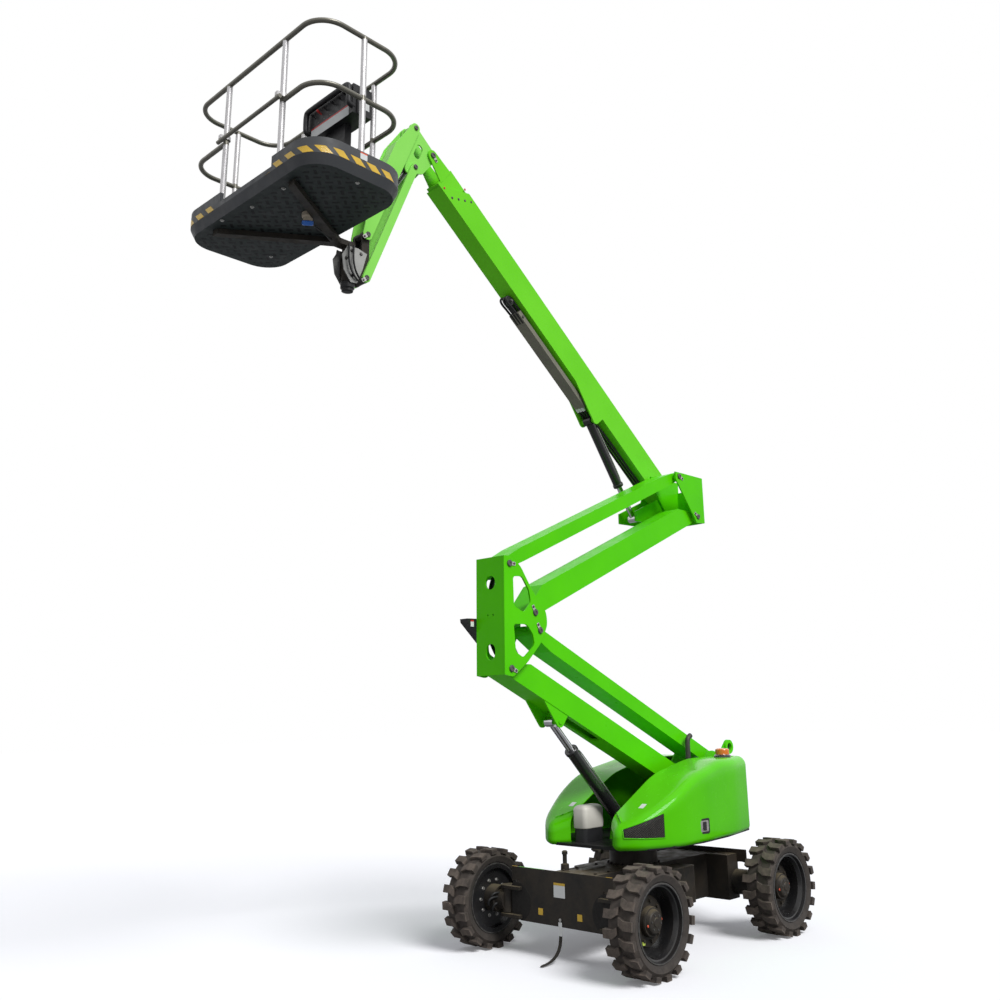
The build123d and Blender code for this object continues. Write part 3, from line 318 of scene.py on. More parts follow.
def rail_finish():
    """Olive-grey painted loops and bright posts."""
    look = Finish("rail_paint", (0.56, 0.55, 0.56), 0.3, 0.55)
    height = look.maths("SUBTRACT", look.axis("Z"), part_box("basket_pan")[0][2])
    loops = [look.band(height, low, high, 0.002) for low, high in ((1.129, 1.2), (0.619, 0.6605))]
    look.tint(look.maths("ADD", *loops), (0.16, 0.155, 0.13))
    look.tint(look.patches(9, 5, 0.4, 0.8), (0.2, 0.18, 0.14), 0.3)
    look.roughen(look.noise(20, 4, 0.6, (1, 1, 0.1)), 0.25, 0.5)
    look.bump(look.noise(160, 3, 0.5, (1, 1, 0.15)), 0.1, 0.0006)
    return look


def pan_finish():
    """Charcoal moulding with a grain, scuffs, painted shade over its whole underside and rows of crossed dashes pressed
    in its underside.
    """
    look = Finish("pan_plastic", (0.062, 0.066, 0.072), 0.48)
    look.set(Specular_IOR_Level=0.25)
    look.tint(look.patches(3.5, 5, 0.35, 0.75), (0.1, 0.098, 0.096), 0.5)
    look.tint(look.patches(55, 7, 0.63, 0.72, 0.7, (1, 1, 3)), (0.2, 0.19, 0.18), 0.25)
    under = look.step(look.maths("MULTIPLY", look.facing("Z"), -1.0), 0.9, 0.96)
    pitch = 0.0707 * 2 ** 0.5
    turns = [
        look.maths("DIVIDE", look.maths(kind, look.axis("X"), look.axis("Y")), pitch) for kind in ("ADD", "SUBTRACT")
    ]
    odd = look.maths("FLOORED_MODULO", look.maths("ADD", *(look.maths("FLOOR", part) for part in turns)), 2.0)
    off = []
    for part in turns:
        share = look.maths("FRACT", look.maths("ADD", part, 200.0))
        off.append(look.maths("ABSOLUTE", look.maths("SUBTRACT", share, 0.5)))
    bars = [
        look.both(look.maths("LESS_THAN", along, 0.41), look.maths("LESS_THAN", across, 0.16))
        for along, across in (off, off[::-1])
    ]
    weave = look.maths("ADD", look.both(bars[0], odd), look.both(bars[1], look.maths("SUBTRACT", 1.0, odd)))
    middle = look.band(look.axis("Y"), BOOM_Y - 0.82, BOOM_Y + 0.82)
    pattern = look.both(weave, under, middle, look.band(look.axis("X"), 3.2, 3.86))
    # painted shade: everything that faces down is tinted much darker and slightly greenish
    look.tint(under, (0.016, 0.024, 0.023), 0.9)
    look.tint(pattern, (0.002, 0.002, 0.003), 0.95)
    look.roughen(look.noise(16, 5), 0.38, 0.62)
    look.bump(look.noise(420, 2), 0.16, 0.0008)
    look.bump(look.maths("MULTIPLY", pattern, -1.0), 0.8, 0.004)
    return look


own_finishes = (
    # paint, slot of the pieces, finish
    ("green", "green_paint", painted("green_paint", (0.1, 0.66, 0.002), (0.08, 0.58, 0.002))),
    ("boom", "pale_green_paint", painted("boom_paint", (0.17, 0.72, 0.02), (0.14, 0.65, 0.012), 0.3, 0.1)),
    # painted light: jib_paint is a paler copy of the boom's pale green, lighter for the brighter light that falls on
    # the jib
    ("jib", "pale_green_paint", painted("jib_paint", (0.3, 0.8, 0.13), (0.25, 0.74, 0.1), 0.3, 0.1)),
    ("hood", "hood_green", hood_paint()),
    ("turntable", None, turntable_paint()),
    ("frame", "black_steel", frame_black()),
    ("tyre", None, tyre_rubber()),
    ("rim", None, rim_black()),
    ("beacon", "amber_plastic", beacon_finish()),
    ("exhaust", "grey_steel", exhaust_finish()),
    ("rail", None, rail_finish()),
    ("pan", None, pan_finish()),
)
plain_finishes = (
    # paint, slot of the pieces, name, colour, roughness, metallic, spread, grain, scale, coat
    ("barrel", "black_steel", "barrel_black", (0.016, 0.016, 0.017), 0.28, 0.0, 0.3, 0.06, 20, 0.5),
    ("chrome", "chrome_rod", "rod_chrome", (0.62, 0.62, 0.64), 0.14, 1.0, 0.15, 0.03, 60),
    ("cast", None, "cast_iron", (0.04, 0.038, 0.036), 0.7, 0.2, 0.4, 0.5, 18),
    ("tank", "white_plastic", "tank_white", (0.72, 0.69, 0.62), 0.38, 0.0, 0.12, 0.08, 12, 0.2),
    ("black", "black_plastic", "black_plastic", (0.022, 0.022, 0.024), 0.45, 0.0, 0.3, 0.2, 30),
    # painted shade: near-black finish for sheets laid where openings show only shade
    ("painted_shade", "black_plastic", "painted_shade_black", (0.012, 0.011, 0.01), 0.7, 0.0, 0.3, 0.2, 40),
    ("mesh", "grey_steel", "grille_grey", (0.1, 0.095, 0.085), 0.5, 0.3, 0.4, 0.3, 50),
    ("tray", "black_plastic", "tray_khaki", (0.21, 0.2, 0.155), 0.5, 0.1, 0.25, 0.15, 16),
    ("strap", "tyre_rubber", "strap_rubber", (0.03, 0.026, 0.022), 0.75, 0.0, 0.35, 0.4, 60),
    ("hose", "black_plastic", "hose_rubber", (0.02, 0.02, 0.021), 0.5, 0.0, 0.3, 0.25, 80),
    ("pin", "grey_steel", "pin_steel", (0.14, 0.135, 0.13), 0.36, 0.7, 0.4, 0.12, 60),
    ("zinc", "grey_steel", "zinc_plate", (0.58, 0.57, 0.55), 0.34, 0.85, 0.3, 0.1, 40),
    ("grey", "grey_steel", "grey_plate", (0.42, 0.42, 0.4), 0.45, 0.4, 0.25, 0.12, 20),
    ("pale", "white_plastic", "pale_plate", (0.78, 0.79, 0.78), 0.5, 0.0, 0.08, 0.05, 40),
    ("yellow", "amber_plastic", "hazard_yellow", (0.78, 0.5, 0.06), 0.42, 0.0, 0.2, 0.08, 30, 0.2),
    ("red", "amber_plastic", "red_plastic", (0.62, 0.03, 0.03), 0.4, 0.0, 0.25, 0.08, 30, 0.2),
    ("blue", "grey_plastic", "socket_blue", (0.03, 0.16, 0.6), 0.4, 0.0, 0.2, 0.08, 30, 0.2),
    ("beige", "grey_plastic", "socket_beige", (0.5, 0.43, 0.33), 0.6, 0.0, 0.2, 0.1, 30),
    ("tag", "amber_plastic", "tag_lime", (0.55, 0.68, 0.12), 0.5, 0.0, 0.25, 0.08, 30),
    ("orange", "amber_plastic", "mark_orange", (0.75, 0.12, 0.06), 0.5, 0.0, 0.25, 0.08, 30),
)
paints = {paint: look.material for paint, slot, look in own_finishes}
paints.update({paint: plain(*row).material for paint, slot, *row in plain_finishes})
node_finish = {
    "frame": "chassis_frame steer_hub_left steer_hub_right under_frame jib_end",
    "strap": "static_strap",
    "tyre": "tyre_front_left tyre_front_right tyre_rear_left tyre_rear_right",
    "rim": "rim_front_left rim_front_right rim_rear_left rim_rear_right",
    "turntable": "turret_frame",
    "cast": "engine_block counterweight",
    "tank": "fluid_tank",
    "hood": "hood_left hood_right",
    "exhaust": "exhaust_pipe",
    "beacon": "beacon",
    "green": "link_one_main link_one_tie link_two_main link_two_tie knuckle_one knuckle_two",
    "boom": "boom_outer boom_inner",
    "jib": "head_link jib_arm jib_tie",
    "tray": "cable_tray",
    "pan": "basket_pan",
    "rail": "basket_rails drop_bar",
    "black": "console",
    "barrel": "riser_cylinder_barrel boom_cylinder_barrel jib_cylinder_barrel",
    "chrome": "riser_cylinder_rod boom_cylinder_rod jib_cylinder_rod",
}
for paint, names in node_finish.items():
    for name in names.split():
        for place in nodes[name].material_slots:
            place.material = paints[paint]


# ---- making pieces ----
def add_piece(name, mesh, body, paint):
    """Piece at the origin with its place in its mesh, riding on a body."""
    mesh.materials.clear()
    mesh.materials.append(paints[paint])
    piece = shown(name, mesh)
    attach(piece, body)
    return piece


def baked(holder):
    """Plain mesh of an object with its modifiers or curve applied; the object itself goes."""
    depsgraph = bpy.context.evaluated_depsgraph_get()
    mesh = bpy.data.meshes.new_from_object(holder.evaluated_get(depsgraph), depsgraph=depsgraph)
    data = holder.data
    bpy.data.objects.remove(holder)
    if isinstance(data, bpy.types.Curve):
        bpy.data.curves.remove(data)
    return mesh


def from_bmesh(name, work, body, paint, smooth=False):
    bmesh.ops.recalc_face_normals(work, faces=work.faces)
    for face in work.faces:
        face.smooth = smooth
    mesh = bpy.data.meshes.new(name)
    work.to_mesh(mesh)
    work.free()
    return add_piece(name, mesh, body, paint)


def frame_at(origin, normal, up=UP):
    """Matrix whose z is a normal and whose y is as near to up as it can be."""
    z = Vector(normal).normalized()
    x = Vector(up).cross(z)
    if x.length < 1e-4:
        x = Vector(LEFT).cross(z)
    x.normalize()
    turn = Matrix((x, z.cross(x), z)).transposed().to_4x4()
    return Matrix.Translation(Vector(origin)) @ turn


def plate(name, corners, thickness, origin, normal, body, paint, bevel=0.0008, up=UP):
    """Flat prism over corners in a plane's own x and y, standing along its normal, with eased edges."""
    work = bmesh.new()
    face = work.faces.new([work.verts.new((x, y, 0)) for x, y in corners])
    top = bmesh.ops.extrude_face_region(work, geom=[face])["geom"]
    raised = [item for item in top if isinstance(item, bmesh.types.BMVert)]
    bmesh.ops.translate(work, verts=raised, vec=(0, 0, thickness))
    eased = min(bevel, thickness * 0.4)
    bmesh.ops.bevel(work, geom=list(work.edges), offset=eased, segments=2, affect="EDGES")
    work.transform(frame_at(origin, normal, up))
    return from_bmesh(name, work, body, paint)


def rectangle(width, height, radius=0.0, steps=4):
    """Corners of a rectangle about its middle, rounded where it has a radius."""
    x, y, corners = width / 2 - radius, height / 2 - radius, []
    if not radius:
        return [(-x, -y), (x, -y), (x, y), (-x, y)]
    for index, (sx, sy) in enumerate(((1, -1), (1, 1), (-1, 1), (-1, -1))):
        for step in range(steps + 1):
            turn = radians(-90 + index * 90 + step * 90 / steps)
            corners.append((sx * x + radius * cos(turn), sy * y + radius * sin(turn)))
    return corners


def label(name, size, origin, normal, body, paint, radius=0.004, thickness=0.0012, bevel=0.0004, up=UP):
    """Thin blank plate."""
    plate(name, rectangle(*size, radius), thickness, origin, normal, body, paint, bevel, up)


def lathe(name, profile, origin, normal, body, paint, sides=40, closed=False):
    """Body of revolution about a normal: (radius, height) pairs from axis to axis, or a closed loop of them."""
    work = bmesh.new()
    points = [work.verts.new((radius, 0, height)) for radius, height in profile]
    for first, second in zip(points, points[1:] + (points[:1] if closed else [])):
        work.edges.new((first, second))
    bmesh.ops.spin(
        work, geom=list(work.verts) + list(work.edges), cent=(0, 0, 0), axis=UP, angle=2 * pi, steps=sides,
        use_merge=True,
    )
    bmesh.ops.remove_doubles(work, verts=work.verts, dist=1e-6)
    work.transform(frame_at(origin, normal))
    return from_bmesh(name, work, body, paint)


def tube(name, points, radius, body, paint):
    """Round hose or pipe on a smooth line through its control points, as a plain mesh."""
    curve = bpy.data.curves.new(name, "CURVE")
    curve.dimensions = "3D"
    spline = curve.splines.new("NURBS")
    spline.points.add(len(points) - 1)
    for point, place in zip(spline.points, points):
        point.co = (*place, 1)
    spline.order_u, spline.use_endpoint_u, spline.resolution_u = 3, True, 6
    curve.bevel_depth, curve.bevel_resolution, curve.use_fill_caps = radius, 3, True
    return add_piece(name, baked(shown(name + "_line", curve)), body, paint)


def scatter_tree(name, sizes, form, aims):
    """Geometry nodes that set a form on every point, turned along directions that the points carry."""
    tree = bpy.data.node_groups.new(name, "GeometryNodeTree")
    sockets = [("Points", "Geometry"), *((size, "Float") for size in sizes), ("Finish", "Material")]
    for label_text, kind in sockets:
        tree.interface.new_socket(label_text, in_out="INPUT", socket_type="NodeSocket" + kind)
    tree.interface.new_socket("Pieces", in_out="OUTPUT", socket_type="NodeSocketGeometry")
    new, join = tree.nodes.new, tree.links.new
    given, result = new("NodeGroupInput").outputs, new("NodeGroupOutput")
    spread, real = new("GeometryNodeInstanceOnPoints"), new("GeometryNodeRealizeInstances")
    dress = new("GeometryNodeSetMaterial")
    turned = None
    for key, axis in aims:
        read, turn = new("GeometryNodeInputNamedAttribute"), new("FunctionNodeAlignRotationToVector")
        read.data_type = "FLOAT_VECTOR"
        read.inputs["Name"].default_value = key
        turn.axis = axis
        if turned:
            turn.pivot_axis = "X"
            join(turned, turn.inputs["Rotation"])
        join(read.outputs["Attribute"], turn.inputs["Vector"])
        turned = turn.outputs[0]
    join(given["Points"], spread.inputs["Points"])
    join(form(new, join, given), spread.inputs["Instance"])
    join(turned, spread.inputs["Rotation"])
    join(spread.outputs[0], real.inputs[0])
    join(real.outputs[0], dress.inputs["Geometry"])
    join(given["Finish"], dress.inputs["Material"])
    join(dress.outputs[0], result.inputs[0])
    return tree


def scatter(name, spots, directions, tree, values, body, paint):
    """Piece made of a tree's form on every spot, with a list of vectors for each direction."""
    mesh = bpy.data.meshes.new(name + "_points")
    mesh.from_pydata(spots, [], [])
    for key, vectors in directions.items():
        attribute = mesh.attributes.new(key, "FLOAT_VECTOR", "POINT")
        for index, vector in enumerate(vectors):
            attribute.data[index].vector = vector
    holder = shown(name + "_points", mesh)
    modifier = holder.modifiers.new("form", "NODES")
    modifier.node_group = tree
    values = {**values, "Finish": paints[paint]}
    for item in tree.interface.items_tree:
        if item.item_type == "SOCKET" and item.name in values:
            modifier[item.identifier] = values[item.name]
    return add_piece(name, baked(holder), body, paint)


def bolt_form(new, join, given):
    """Six-sided head that stands on a round washer of 0.3 of its height."""
    head, washer = new("GeometryNodeMeshCylinder"), new("GeometryNodeMeshCylinder")
    head.inputs["Vertices"].default_value = 6
    washer.inputs["Vertices"].default_value = 16
    join(given["Head Radius"], head.inputs["Radius"])
    join(given["Head Height"], head.inputs["Depth"])
    join(given["Washer Radius"], washer.inputs["Radius"])
    lift, offset = new("GeometryNodeTransform"), new("ShaderNodeCombineXYZ")
    for share, target in ((0.3, washer.inputs["Depth"]), (0.5, offset.inputs["Z"])):
        part = new("ShaderNodeMath")
        part.operation = "MULTIPLY"
        part.inputs[1].default_value = share
        join(given["Head Height"], part.inputs[0])
        join(part.outputs[0], target)
    join(head.outputs["Mesh"], lift.inputs["Geometry"])
    join(offset.outputs[0], lift.inputs["Translation"])
    both = new("GeometryNodeJoinGeometry")
    join(lift.outputs[0], both.inputs[0])
    join(washer.outputs["Mesh"], both.inputs[0])
    return both.outputs[0]


BOLT_SIZES = ("Head Radius", "Head Height", "Washer Radius")
bolts = scatter_tree("bolt_heads", BOLT_SIZES, bolt_form, (("aim", "Z"),))


def bolt_heads(name, spots, aim, sizes, body, paint):
    """Bolt heads on one face. Sizes are head radius, head height and washer radius."""
    scatter(name, spots, {"aim": [aim] * len(spots)}, bolts, dict(zip(BOLT_SIZES, sizes)), body, paint)


def around(centre, radius, angles, depth=0.0):
    """Points on a circle that faces the side, at angles in degrees from +X towards +Z."""
    centre = Vector(centre)
    return [centre + Vector((radius * cos(turn), depth, radius * sin(turn))) for turn in map(radians, angles)]


def on_boom(along_boom, above, y):
    """Point at a distance along the boom from its pivot and above its middle line."""
    x = BOOM_PIVOT.x + along_boom * cos(BOOM_LEAN) - above * sin(BOOM_LEAN)
    z = BOOM_PIVOT.z + along_boom * sin(BOOM_LEAN) + above * cos(BOOM_LEAN)
    return Vector((x, y, z))


def rounded(corners, closed=True, turn=radians(8)):
    """Points through corners (u, v, radius), each corner followed on an arc of its radius."""
    points = []
    for index, (u, v, radius) in enumerate(corners):
        here = Vector((u, v))
        if not radius or (not closed and index in (0, len(corners) - 1)):
            points.append(here)
            continue
        back = Vector(corners[index - 1][:2]) - here
        ahead = Vector(corners[(index + 1) % len(corners)][:2]) - here
        half = back.angle(ahead) / 2
        reach = min(radius / tan(half), 0.49 * back.length, 0.49 * ahead.length)
        centre = here + (back.normalized() + ahead.normalized()).normalized() * reach / cos(half)
        start, end = here + back.normalized() * reach - centre, here + ahead.normalized() * reach - centre
        swing = atan2(start.x * end.y - start.y * end.x, start.dot(end))
        steps = max(2, ceil(abs(swing) / turn))
        for step in range(steps + 1):
            angle = atan2(start.y, start.x) + swing * step / steps
            points.append(centre + Vector((cos(angle), sin(angle))) * start.length)
    return points


def split_long(points, longest):
    """Same open line with no stretch longer than a limit."""
    result = [points[0]]
    for first, second in zip(points, points[1:]):
        count = max(1, ceil((second - first).length / longest))
        result += [first.lerp(second, step / count) for step in range(1, count + 1)]
    return result


def circle(u, v, radius, sides=28):
    turns = [2 * pi * k / sides for k in range(sides)]
    return [Vector((u + radius * cos(turn), v + radius * sin(turn))) for turn in turns]


def holed_plate(name, outline, holes, thickness, origin, normal, body, paint):
    """Flat plate with holes, standing along its normal, its edges slightly eased."""
    eased = 0.0008
    curve = bpy.data.curves.new(name, "CURVE")
    curve.dimensions, curve.fill_mode = "2D", "BOTH"
    curve.extrude, curve.bevel_depth, curve.bevel_resolution = thickness / 2 - eased, eased, 1
    for points in (outline, *holes):
        spline = curve.splines.new("POLY")
        spline.points.add(len(points) - 1)
        for point, (u, v) in zip(spline.points, points):
            point.co = (u, v, 0, 1)
        spline.use_cyclic_u = True
    mesh = baked(shown(name + "_line", curve))
    work = bmesh.new()
    work.from_mesh(mesh)
    bpy.data.meshes.remove(mesh)
    bmesh.ops.remove_doubles(work, verts=work.verts, dist=1e-5)
    work.transform(frame_at(origin, normal) @ Matrix.Translation((0, 0, thickness / 2)))
    return from_bmesh(name, work, body, paint)


def skin(work, rows, ring=False, flip=False):
    """Faces between rows of as many vertices each, round to the start on a ring."""
    for first, second in zip(rows, rows[1:]):
        for index in range(len(first) if ring else len(first) - 1):
            after = (index + 1) % len(first)
            corners = (first[index], first[after], second[after], second[index])
            if all(corners):
                work.faces.new(corners[::-1] if flip else corners)


def loft(name, rings, body, paint):
    """Smooth skin through closed rings, closed at both ends, with a crease where it turns sharply."""
    work = bmesh.new()
    rows = [[work.verts.new(point) for point in ring] for ring in rings]
    skin(work, rows, ring=True)
    work.faces.new(rows[0][::-1])
    work.faces.new(rows[-1])
    piece = from_bmesh(name, work, body, paint, smooth=True)
    piece.data.set_sharp_from_angle(angle=radians(35))
    return piece


# ---- hoods: moulded shells over the turntable, rounded at the sill and the shoulder ----
HOOD_FLOOR, HOOD_INNER, HOOD_WALL = 0.8, 0.222, 0.008
HOOD_SILL, HOOD_SHOULDER = 0.045, 0.075
ARC_STEPS, WALL_STEPS, TOP_STEPS = 6, 6, 12
HOOD_PLAN = (
    # x, y, corner radius
    (0.56, HOOD_INNER, 0), (0.695, 0.35, 0.07), (0.575, 0.52, 0.4), (0.205, 0.664, 0.9), (-0.23, 0.65, 1.5),
    (-0.8, 0.578, 1.2), (-1.165, 0.475, 0.15), (-1.275, 0.3, 0.06), (-1.275, HOOD_INNER, 0),
)
HOOD_PROFILE = (
    # x, z, corner radius
    (0.72, 0.96, 0), (0.6, 1.01, 0.2), (-0.04, 1.345, 0.9), (-0.56, 1.45, 0.9), (-1.1, 1.455, 0.3), (-1.3, 1.425, 0),
)
profile_line = rounded(HOOD_PROFILE, closed=False, turn=radians(3))
plan_line = split_long(rounded(HOOD_PLAN, closed=False, turn=radians(6)), 0.045)


def hood_top(x):
    """Height of the hood's top line."""
    for first, second in zip(profile_line, profile_line[1:]):
        if second.x <= x <= first.x:
            return first.y + (second.y - first.y) * (first.x - x) / (first.x - second.x)
    return profile_line[0].y if x > profile_line[0].x else profile_line[-1].y


def plan_outward(index):
    """Outward direction at a point of the hood's plan, straight fore and aft at its ends."""
    if index == 0:
        return Vector((1, 0))
    if index == len(plan_line) - 1:
        return Vector((-1, 0))
    along = (plan_line[index + 1] - plan_line[index - 1]).normalized()
    return Vector((along.y, -along.x))


def hood_shell(name, side, body, node):
    quarter = [radians(90 * step / ARC_STEPS) for step in range(ARC_STEPS + 1)]
    levels = [(HOOD_SILL * (1 - sin(turn)), "sill", HOOD_SILL * (1 - cos(turn))) for turn in quarter]
    levels += [(0.0, "wall", step / WALL_STEPS) for step in range(1, WALL_STEPS)]
    levels += [(HOOD_SHOULDER * (1 - cos(turn)), "top", HOOD_SHOULDER * (1 - sin(turn))) for turn in quarter]
    rows = []
    for inset, part, amount in levels:
        row = []
        for index, point in enumerate(plan_line):
            spot = point - plan_outward(index) * inset
            low, high = HOOD_FLOOR + HOOD_SILL, hood_top(point.x) - HOOD_SHOULDER
            heights = {
                "sill": HOOD_FLOOR + amount, "wall": low + (high - low) * amount, "top": hood_top(spot.x) - amount,
            }
            row.append(Vector((spot.x, side * max(spot.y, HOOD_INNER), heights[part])))
        rows.append(row)
    last = rows[-1]
    farthest = max(range(len(last)), key=lambda index: last[index].x)
    front, rear, reach = last[0].x, last[-1].x, last[farthest].x
    for step in range(1, TOP_STEPS + 1):
        share, row = step / TOP_STEPS, []
        for index, point in enumerate(last):
            inner_x = front if index <= farthest else rear + (point.x - rear) * (front - rear) / (reach - rear)
            x = point.x + (inner_x - point.x) * share
            y = abs(point.y) + (HOOD_INNER - abs(point.y)) * share
            row.append(Vector((x, side * y, hood_top(x))))
        rows.append(row)
    work = bmesh.new()
    skin(work, [[work.verts.new(point) for point in row] for row in rows], flip=side < 0)
    bmesh.ops.remove_doubles(work, verts=work.verts, dist=1e-5)
    bmesh.ops.dissolve_degenerate(work, edges=work.edges, dist=1e-5)
    for face in work.faces:
        face.smooth = True
    mesh = bpy.data.meshes.new(name)
    work.to_mesh(mesh)
    work.free()
    holder = shown(name + "_skin", mesh)
    wall = holder.modifiers.new("wall", "SOLIDIFY")
    wall.thickness, wall.offset, wall.use_even_offset = HOOD_WALL, -1, False
    shell = baked(holder)
    shell.set_sharp_from_angle(angle=radians(40))
    piece = add_piece(name, shell, body, "hood")
    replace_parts(piece, node)
    return piece


left_shell = hood_shell("hood_shell_left", 1, "left_hood", "hood_left")
right_shell = hood_shell("hood_shell_right", -1, "right_hood", "hood_right")


def cast(piece, start, direction):
    """Point and normal where a ray first meets a piece."""
    found, spot, normal, index = piece.ray_cast(Vector(start), Vector(direction).normalized())
    return (spot, normal) if found else (None, None)


# ---- pins: heads with keeper lugs on the near side of every joint ----
PIN_HEAD = ((0, 0), (0.027, 0), (0.027, 0.008), (0.023, 0.013), (0.01, 0.013), (0.009, 0.009), (0, 0.009))
SMALL_HEAD = ((0, 0), (0.022, 0), (0.022, 0.006), (0.018, 0.01), (0.008, 0.01), (0.007, 0.007), (0, 0.007))
pin_rows = (
    # body, y of the face, side, head, end of the name, joints
    ("lower_knuckle", 0.159, 1, PIN_HEAD, "", ("knuckle_foot", "knuckle_tie", "knuckle_top", "knuckle_second")),
    ("lower_knuckle", -0.159, -1, PIN_HEAD, "_far", ("knuckle_foot", "knuckle_top")),
    ("upper_knuckle", 0.159, 1, PIN_HEAD, "", ("top_tie", "top_main")),
    ("upper_knuckle", -0.387, -1, PIN_HEAD, "", ("boom_foot",)),
    ("inner_boom", -0.197, 1, PIN_HEAD, "", ("head",)),
    ("inner_boom", -0.353, -1, PIN_HEAD, "_far", ("head",)),
    ("head", -0.188, 1, SMALL_HEAD, "", ("jib_root", "jib_low_root")),
    ("jib_mount", -0.188, 1, SMALL_HEAD, "", ("jib_tip", "jib_low_tip")),
)
for body, y, side, head, end, joint_names in pin_rows:
    for joint_name in joint_names:
        x, z = PINS[joint_name]
        lathe(f"pin_{joint_name}{end}", head, (x, y, z), (0, side, 0), body, "pin", 28)
keepers = (
    # name, body, y of the face, joints with the direction of their lug in degrees
    ("keepers_knuckle", "lower_knuckle", 0.1592,
     (("knuckle_foot", 200), ("knuckle_tie", 60), ("knuckle_top", 180), ("knuckle_second", 60))),
    ("keepers_top", "upper_knuckle", 0.1592, (("top_tie", 200), ("top_main", 30))),
    ("keepers_head", "inner_boom", -0.1968, (("head", 230),)),
    ("keepers_jib", "jib_mount", -0.1875, (("jib_tip", 320), ("jib_low_tip", 320))),
)
for name, body, y, lugs in keepers:
    spots = []
    for index, (joint_name, angle) in enumerate(lugs):
        x, z = PINS[joint_name]
        middle, = around((x, y, z), 0.04, (angle,))
        plate(f"{name}_{index}", rectangle(0.03, 0.052, 0.008), 0.006, middle, LEFT, body, "zinc",
              up=middle - Vector((x, y, z)))
        spots += around((x, y, z), 0.05, (angle,), 0.006)
    bolt_heads(f"{name}_bolts", spots, LEFT, (0.008, 0.006, 0.011), body, "pin")

# ---- wheels: hub covers, studs, marks and tags ----
HUB_COVER = (
    (0, 0.128), (0.03, 0.128), (0.034, 0.123), (0.07, 0.12), (0.078, 0.114), (0.09, 0.092), (0.1, 0.09), (0.104, 0.08),
    (0.106, 0.05), (0.17, 0.045), (0.178, 0.035), (0.18, 0), (0, 0),
)
HUB_MARK = ((0, 0.005), (0.008, 0.004), (0.011, 0), (0, 0))
STUD_TAG = ((-0.016, -0.012), (0.012, -0.016), (0.018, 0.004), (0.004, 0.018), (-0.012, 0.01))
HOSE_FITTING = ((0, 0.03), (0.012, 0.03), (0.015, 0.024), (0.015, 0), (0, 0))
DISC_FACE, DRIVE_FACE = 0.8005, 0.7875
hub_bolts = (
    # name, radius, angles, distance out of the disc, sizes, paint
    ("wheel_studs", 0.14, range(20, 380, 40), 0.047, (0.012, 0.016, 0.017), "frame"),
    ("cover_bolts", 0.055, range(10, 370, 60), 0.121, (0.007, 0.006, 0.009), "pin"),
)
HANDS = (("left", 1), ("right", -1))
for end, fore in (("front", 1), ("rear", -1)):
    for hand, side in HANDS:
        body, out = f"wheel_{end}_{hand}", (0, side, 0)
        centre = Vector((fore * AXLE_X, side * DISC_FACE, AXLE_Z))
        lathe(f"hub_cover_{end}_{hand}", HUB_COVER, centre, out, body, "frame", 48)
        for name, radius, angles, depth, sizes, paint in hub_bolts:
            bolt_heads(f"{name}_{end}_{hand}", around(centre, radius, angles, side * depth), out, sizes, body, paint)
        for index, spot in enumerate(around(centre, 0.082, (172, 350), side * 0.106)):
            lathe(f"hub_mark_{end}_{hand}_{index}", HUB_MARK, spot, out, body, "orange", 14)
        for index, spot in enumerate(around(centre, 0.155, (62, -62), side * 0.046)):
            plate(f"stud_tag_{end}_{hand}_{index}", STUD_TAG, 0.01, spot, out, body, "tag")
        back = around((fore * AXLE_X, side * DRIVE_FACE, AXLE_Z), 0.14, range(0, 360, 36))
        bolt_heads(f"drive_bolts_{end}_{hand}", back, (0, -side, 0), (0.011, 0.012, 0.015), body, "zinc")

# hoses and fittings behind each front wheel
for hand, side in HANDS:
    body = f"steer_{hand}"
    for index, (lift, reach) in enumerate(((0.05, 0.12), (0.02, 0.15), (-0.03, 0.1))):
        line = (
            # ahead of the axle, distance from the middle, height above the axle
            (0.03, 0.655, lift), (reach, 0.66, lift + 0.02), (reach, 0.7, lift - 0.06), (0.06, 0.745, lift - 0.05),
            (0.03, 0.775, lift),
        )
        points = [(AXLE_X + x, side * y, AXLE_Z + z) for x, y, z in line]
        tube(f"steer_hose_{hand}_{index}", points, 0.009, body, "hose")
        foot = (AXLE_X + 0.03, side * 0.65, AXLE_Z + lift)
        lathe(f"steer_fitting_{hand}_{index}", HOSE_FITTING, foot, (0, side, 0), body, "zinc", 12)

# ---- chassis: blank labels, strips along the front plate's top edge, strap, deck post and bolts ----
STRIP_X, STRIP_Z, BEHIND = 0.949, 0.6551, (-1, 0, 0)
labels = (
    # name, size, place, direction, paint, corner radius, direction of its height
    ("label_front", (0.12, 0.09), (PLATE_FRONT, -0.011, 0.506), AHEAD, "pale", 0.004, UP),
    ("label_front_edge", (0.12, 0.018), (PLATE_FRONT, -0.011, 0.5605), AHEAD, "yellow", 0.004, UP),
    ("label_small_far", (0.05, 0.05), (PLATE_FRONT, -0.218, 0.34), AHEAD, "yellow", 0.004, UP),
    ("label_small_near", (0.05, 0.05), (PLATE_FRONT, 0.198, 0.338), AHEAD, "yellow", 0.004, UP),
    ("strip_far", (0.01, 0.055), (STRIP_X, -0.51, STRIP_Z), UP, "yellow", 0.0, LEFT),
    ("strip_green", (0.01, 0.27), (STRIP_X, -0.32, STRIP_Z), UP, "green", 0.0, LEFT),
    ("strip_near", (0.01, 0.055), (STRIP_X, 0.5, STRIP_Z), UP, "yellow", 0.0, LEFT),
    ("label_rear_beam", (0.12, 0.09), (-PLATE_FRONT, 0.1, 0.5), BEHIND, "pale", 0.004, UP),
    ("label_rear_beam_edge", (0.12, 0.018), (-PLATE_FRONT, 0.1, 0.5545), BEHIND, "yellow", 0.003, UP),
)
for name, size, place, direction, paint, radius, up in labels:
    label(name, size, place, direction, "chassis", paint, radius, up=up)
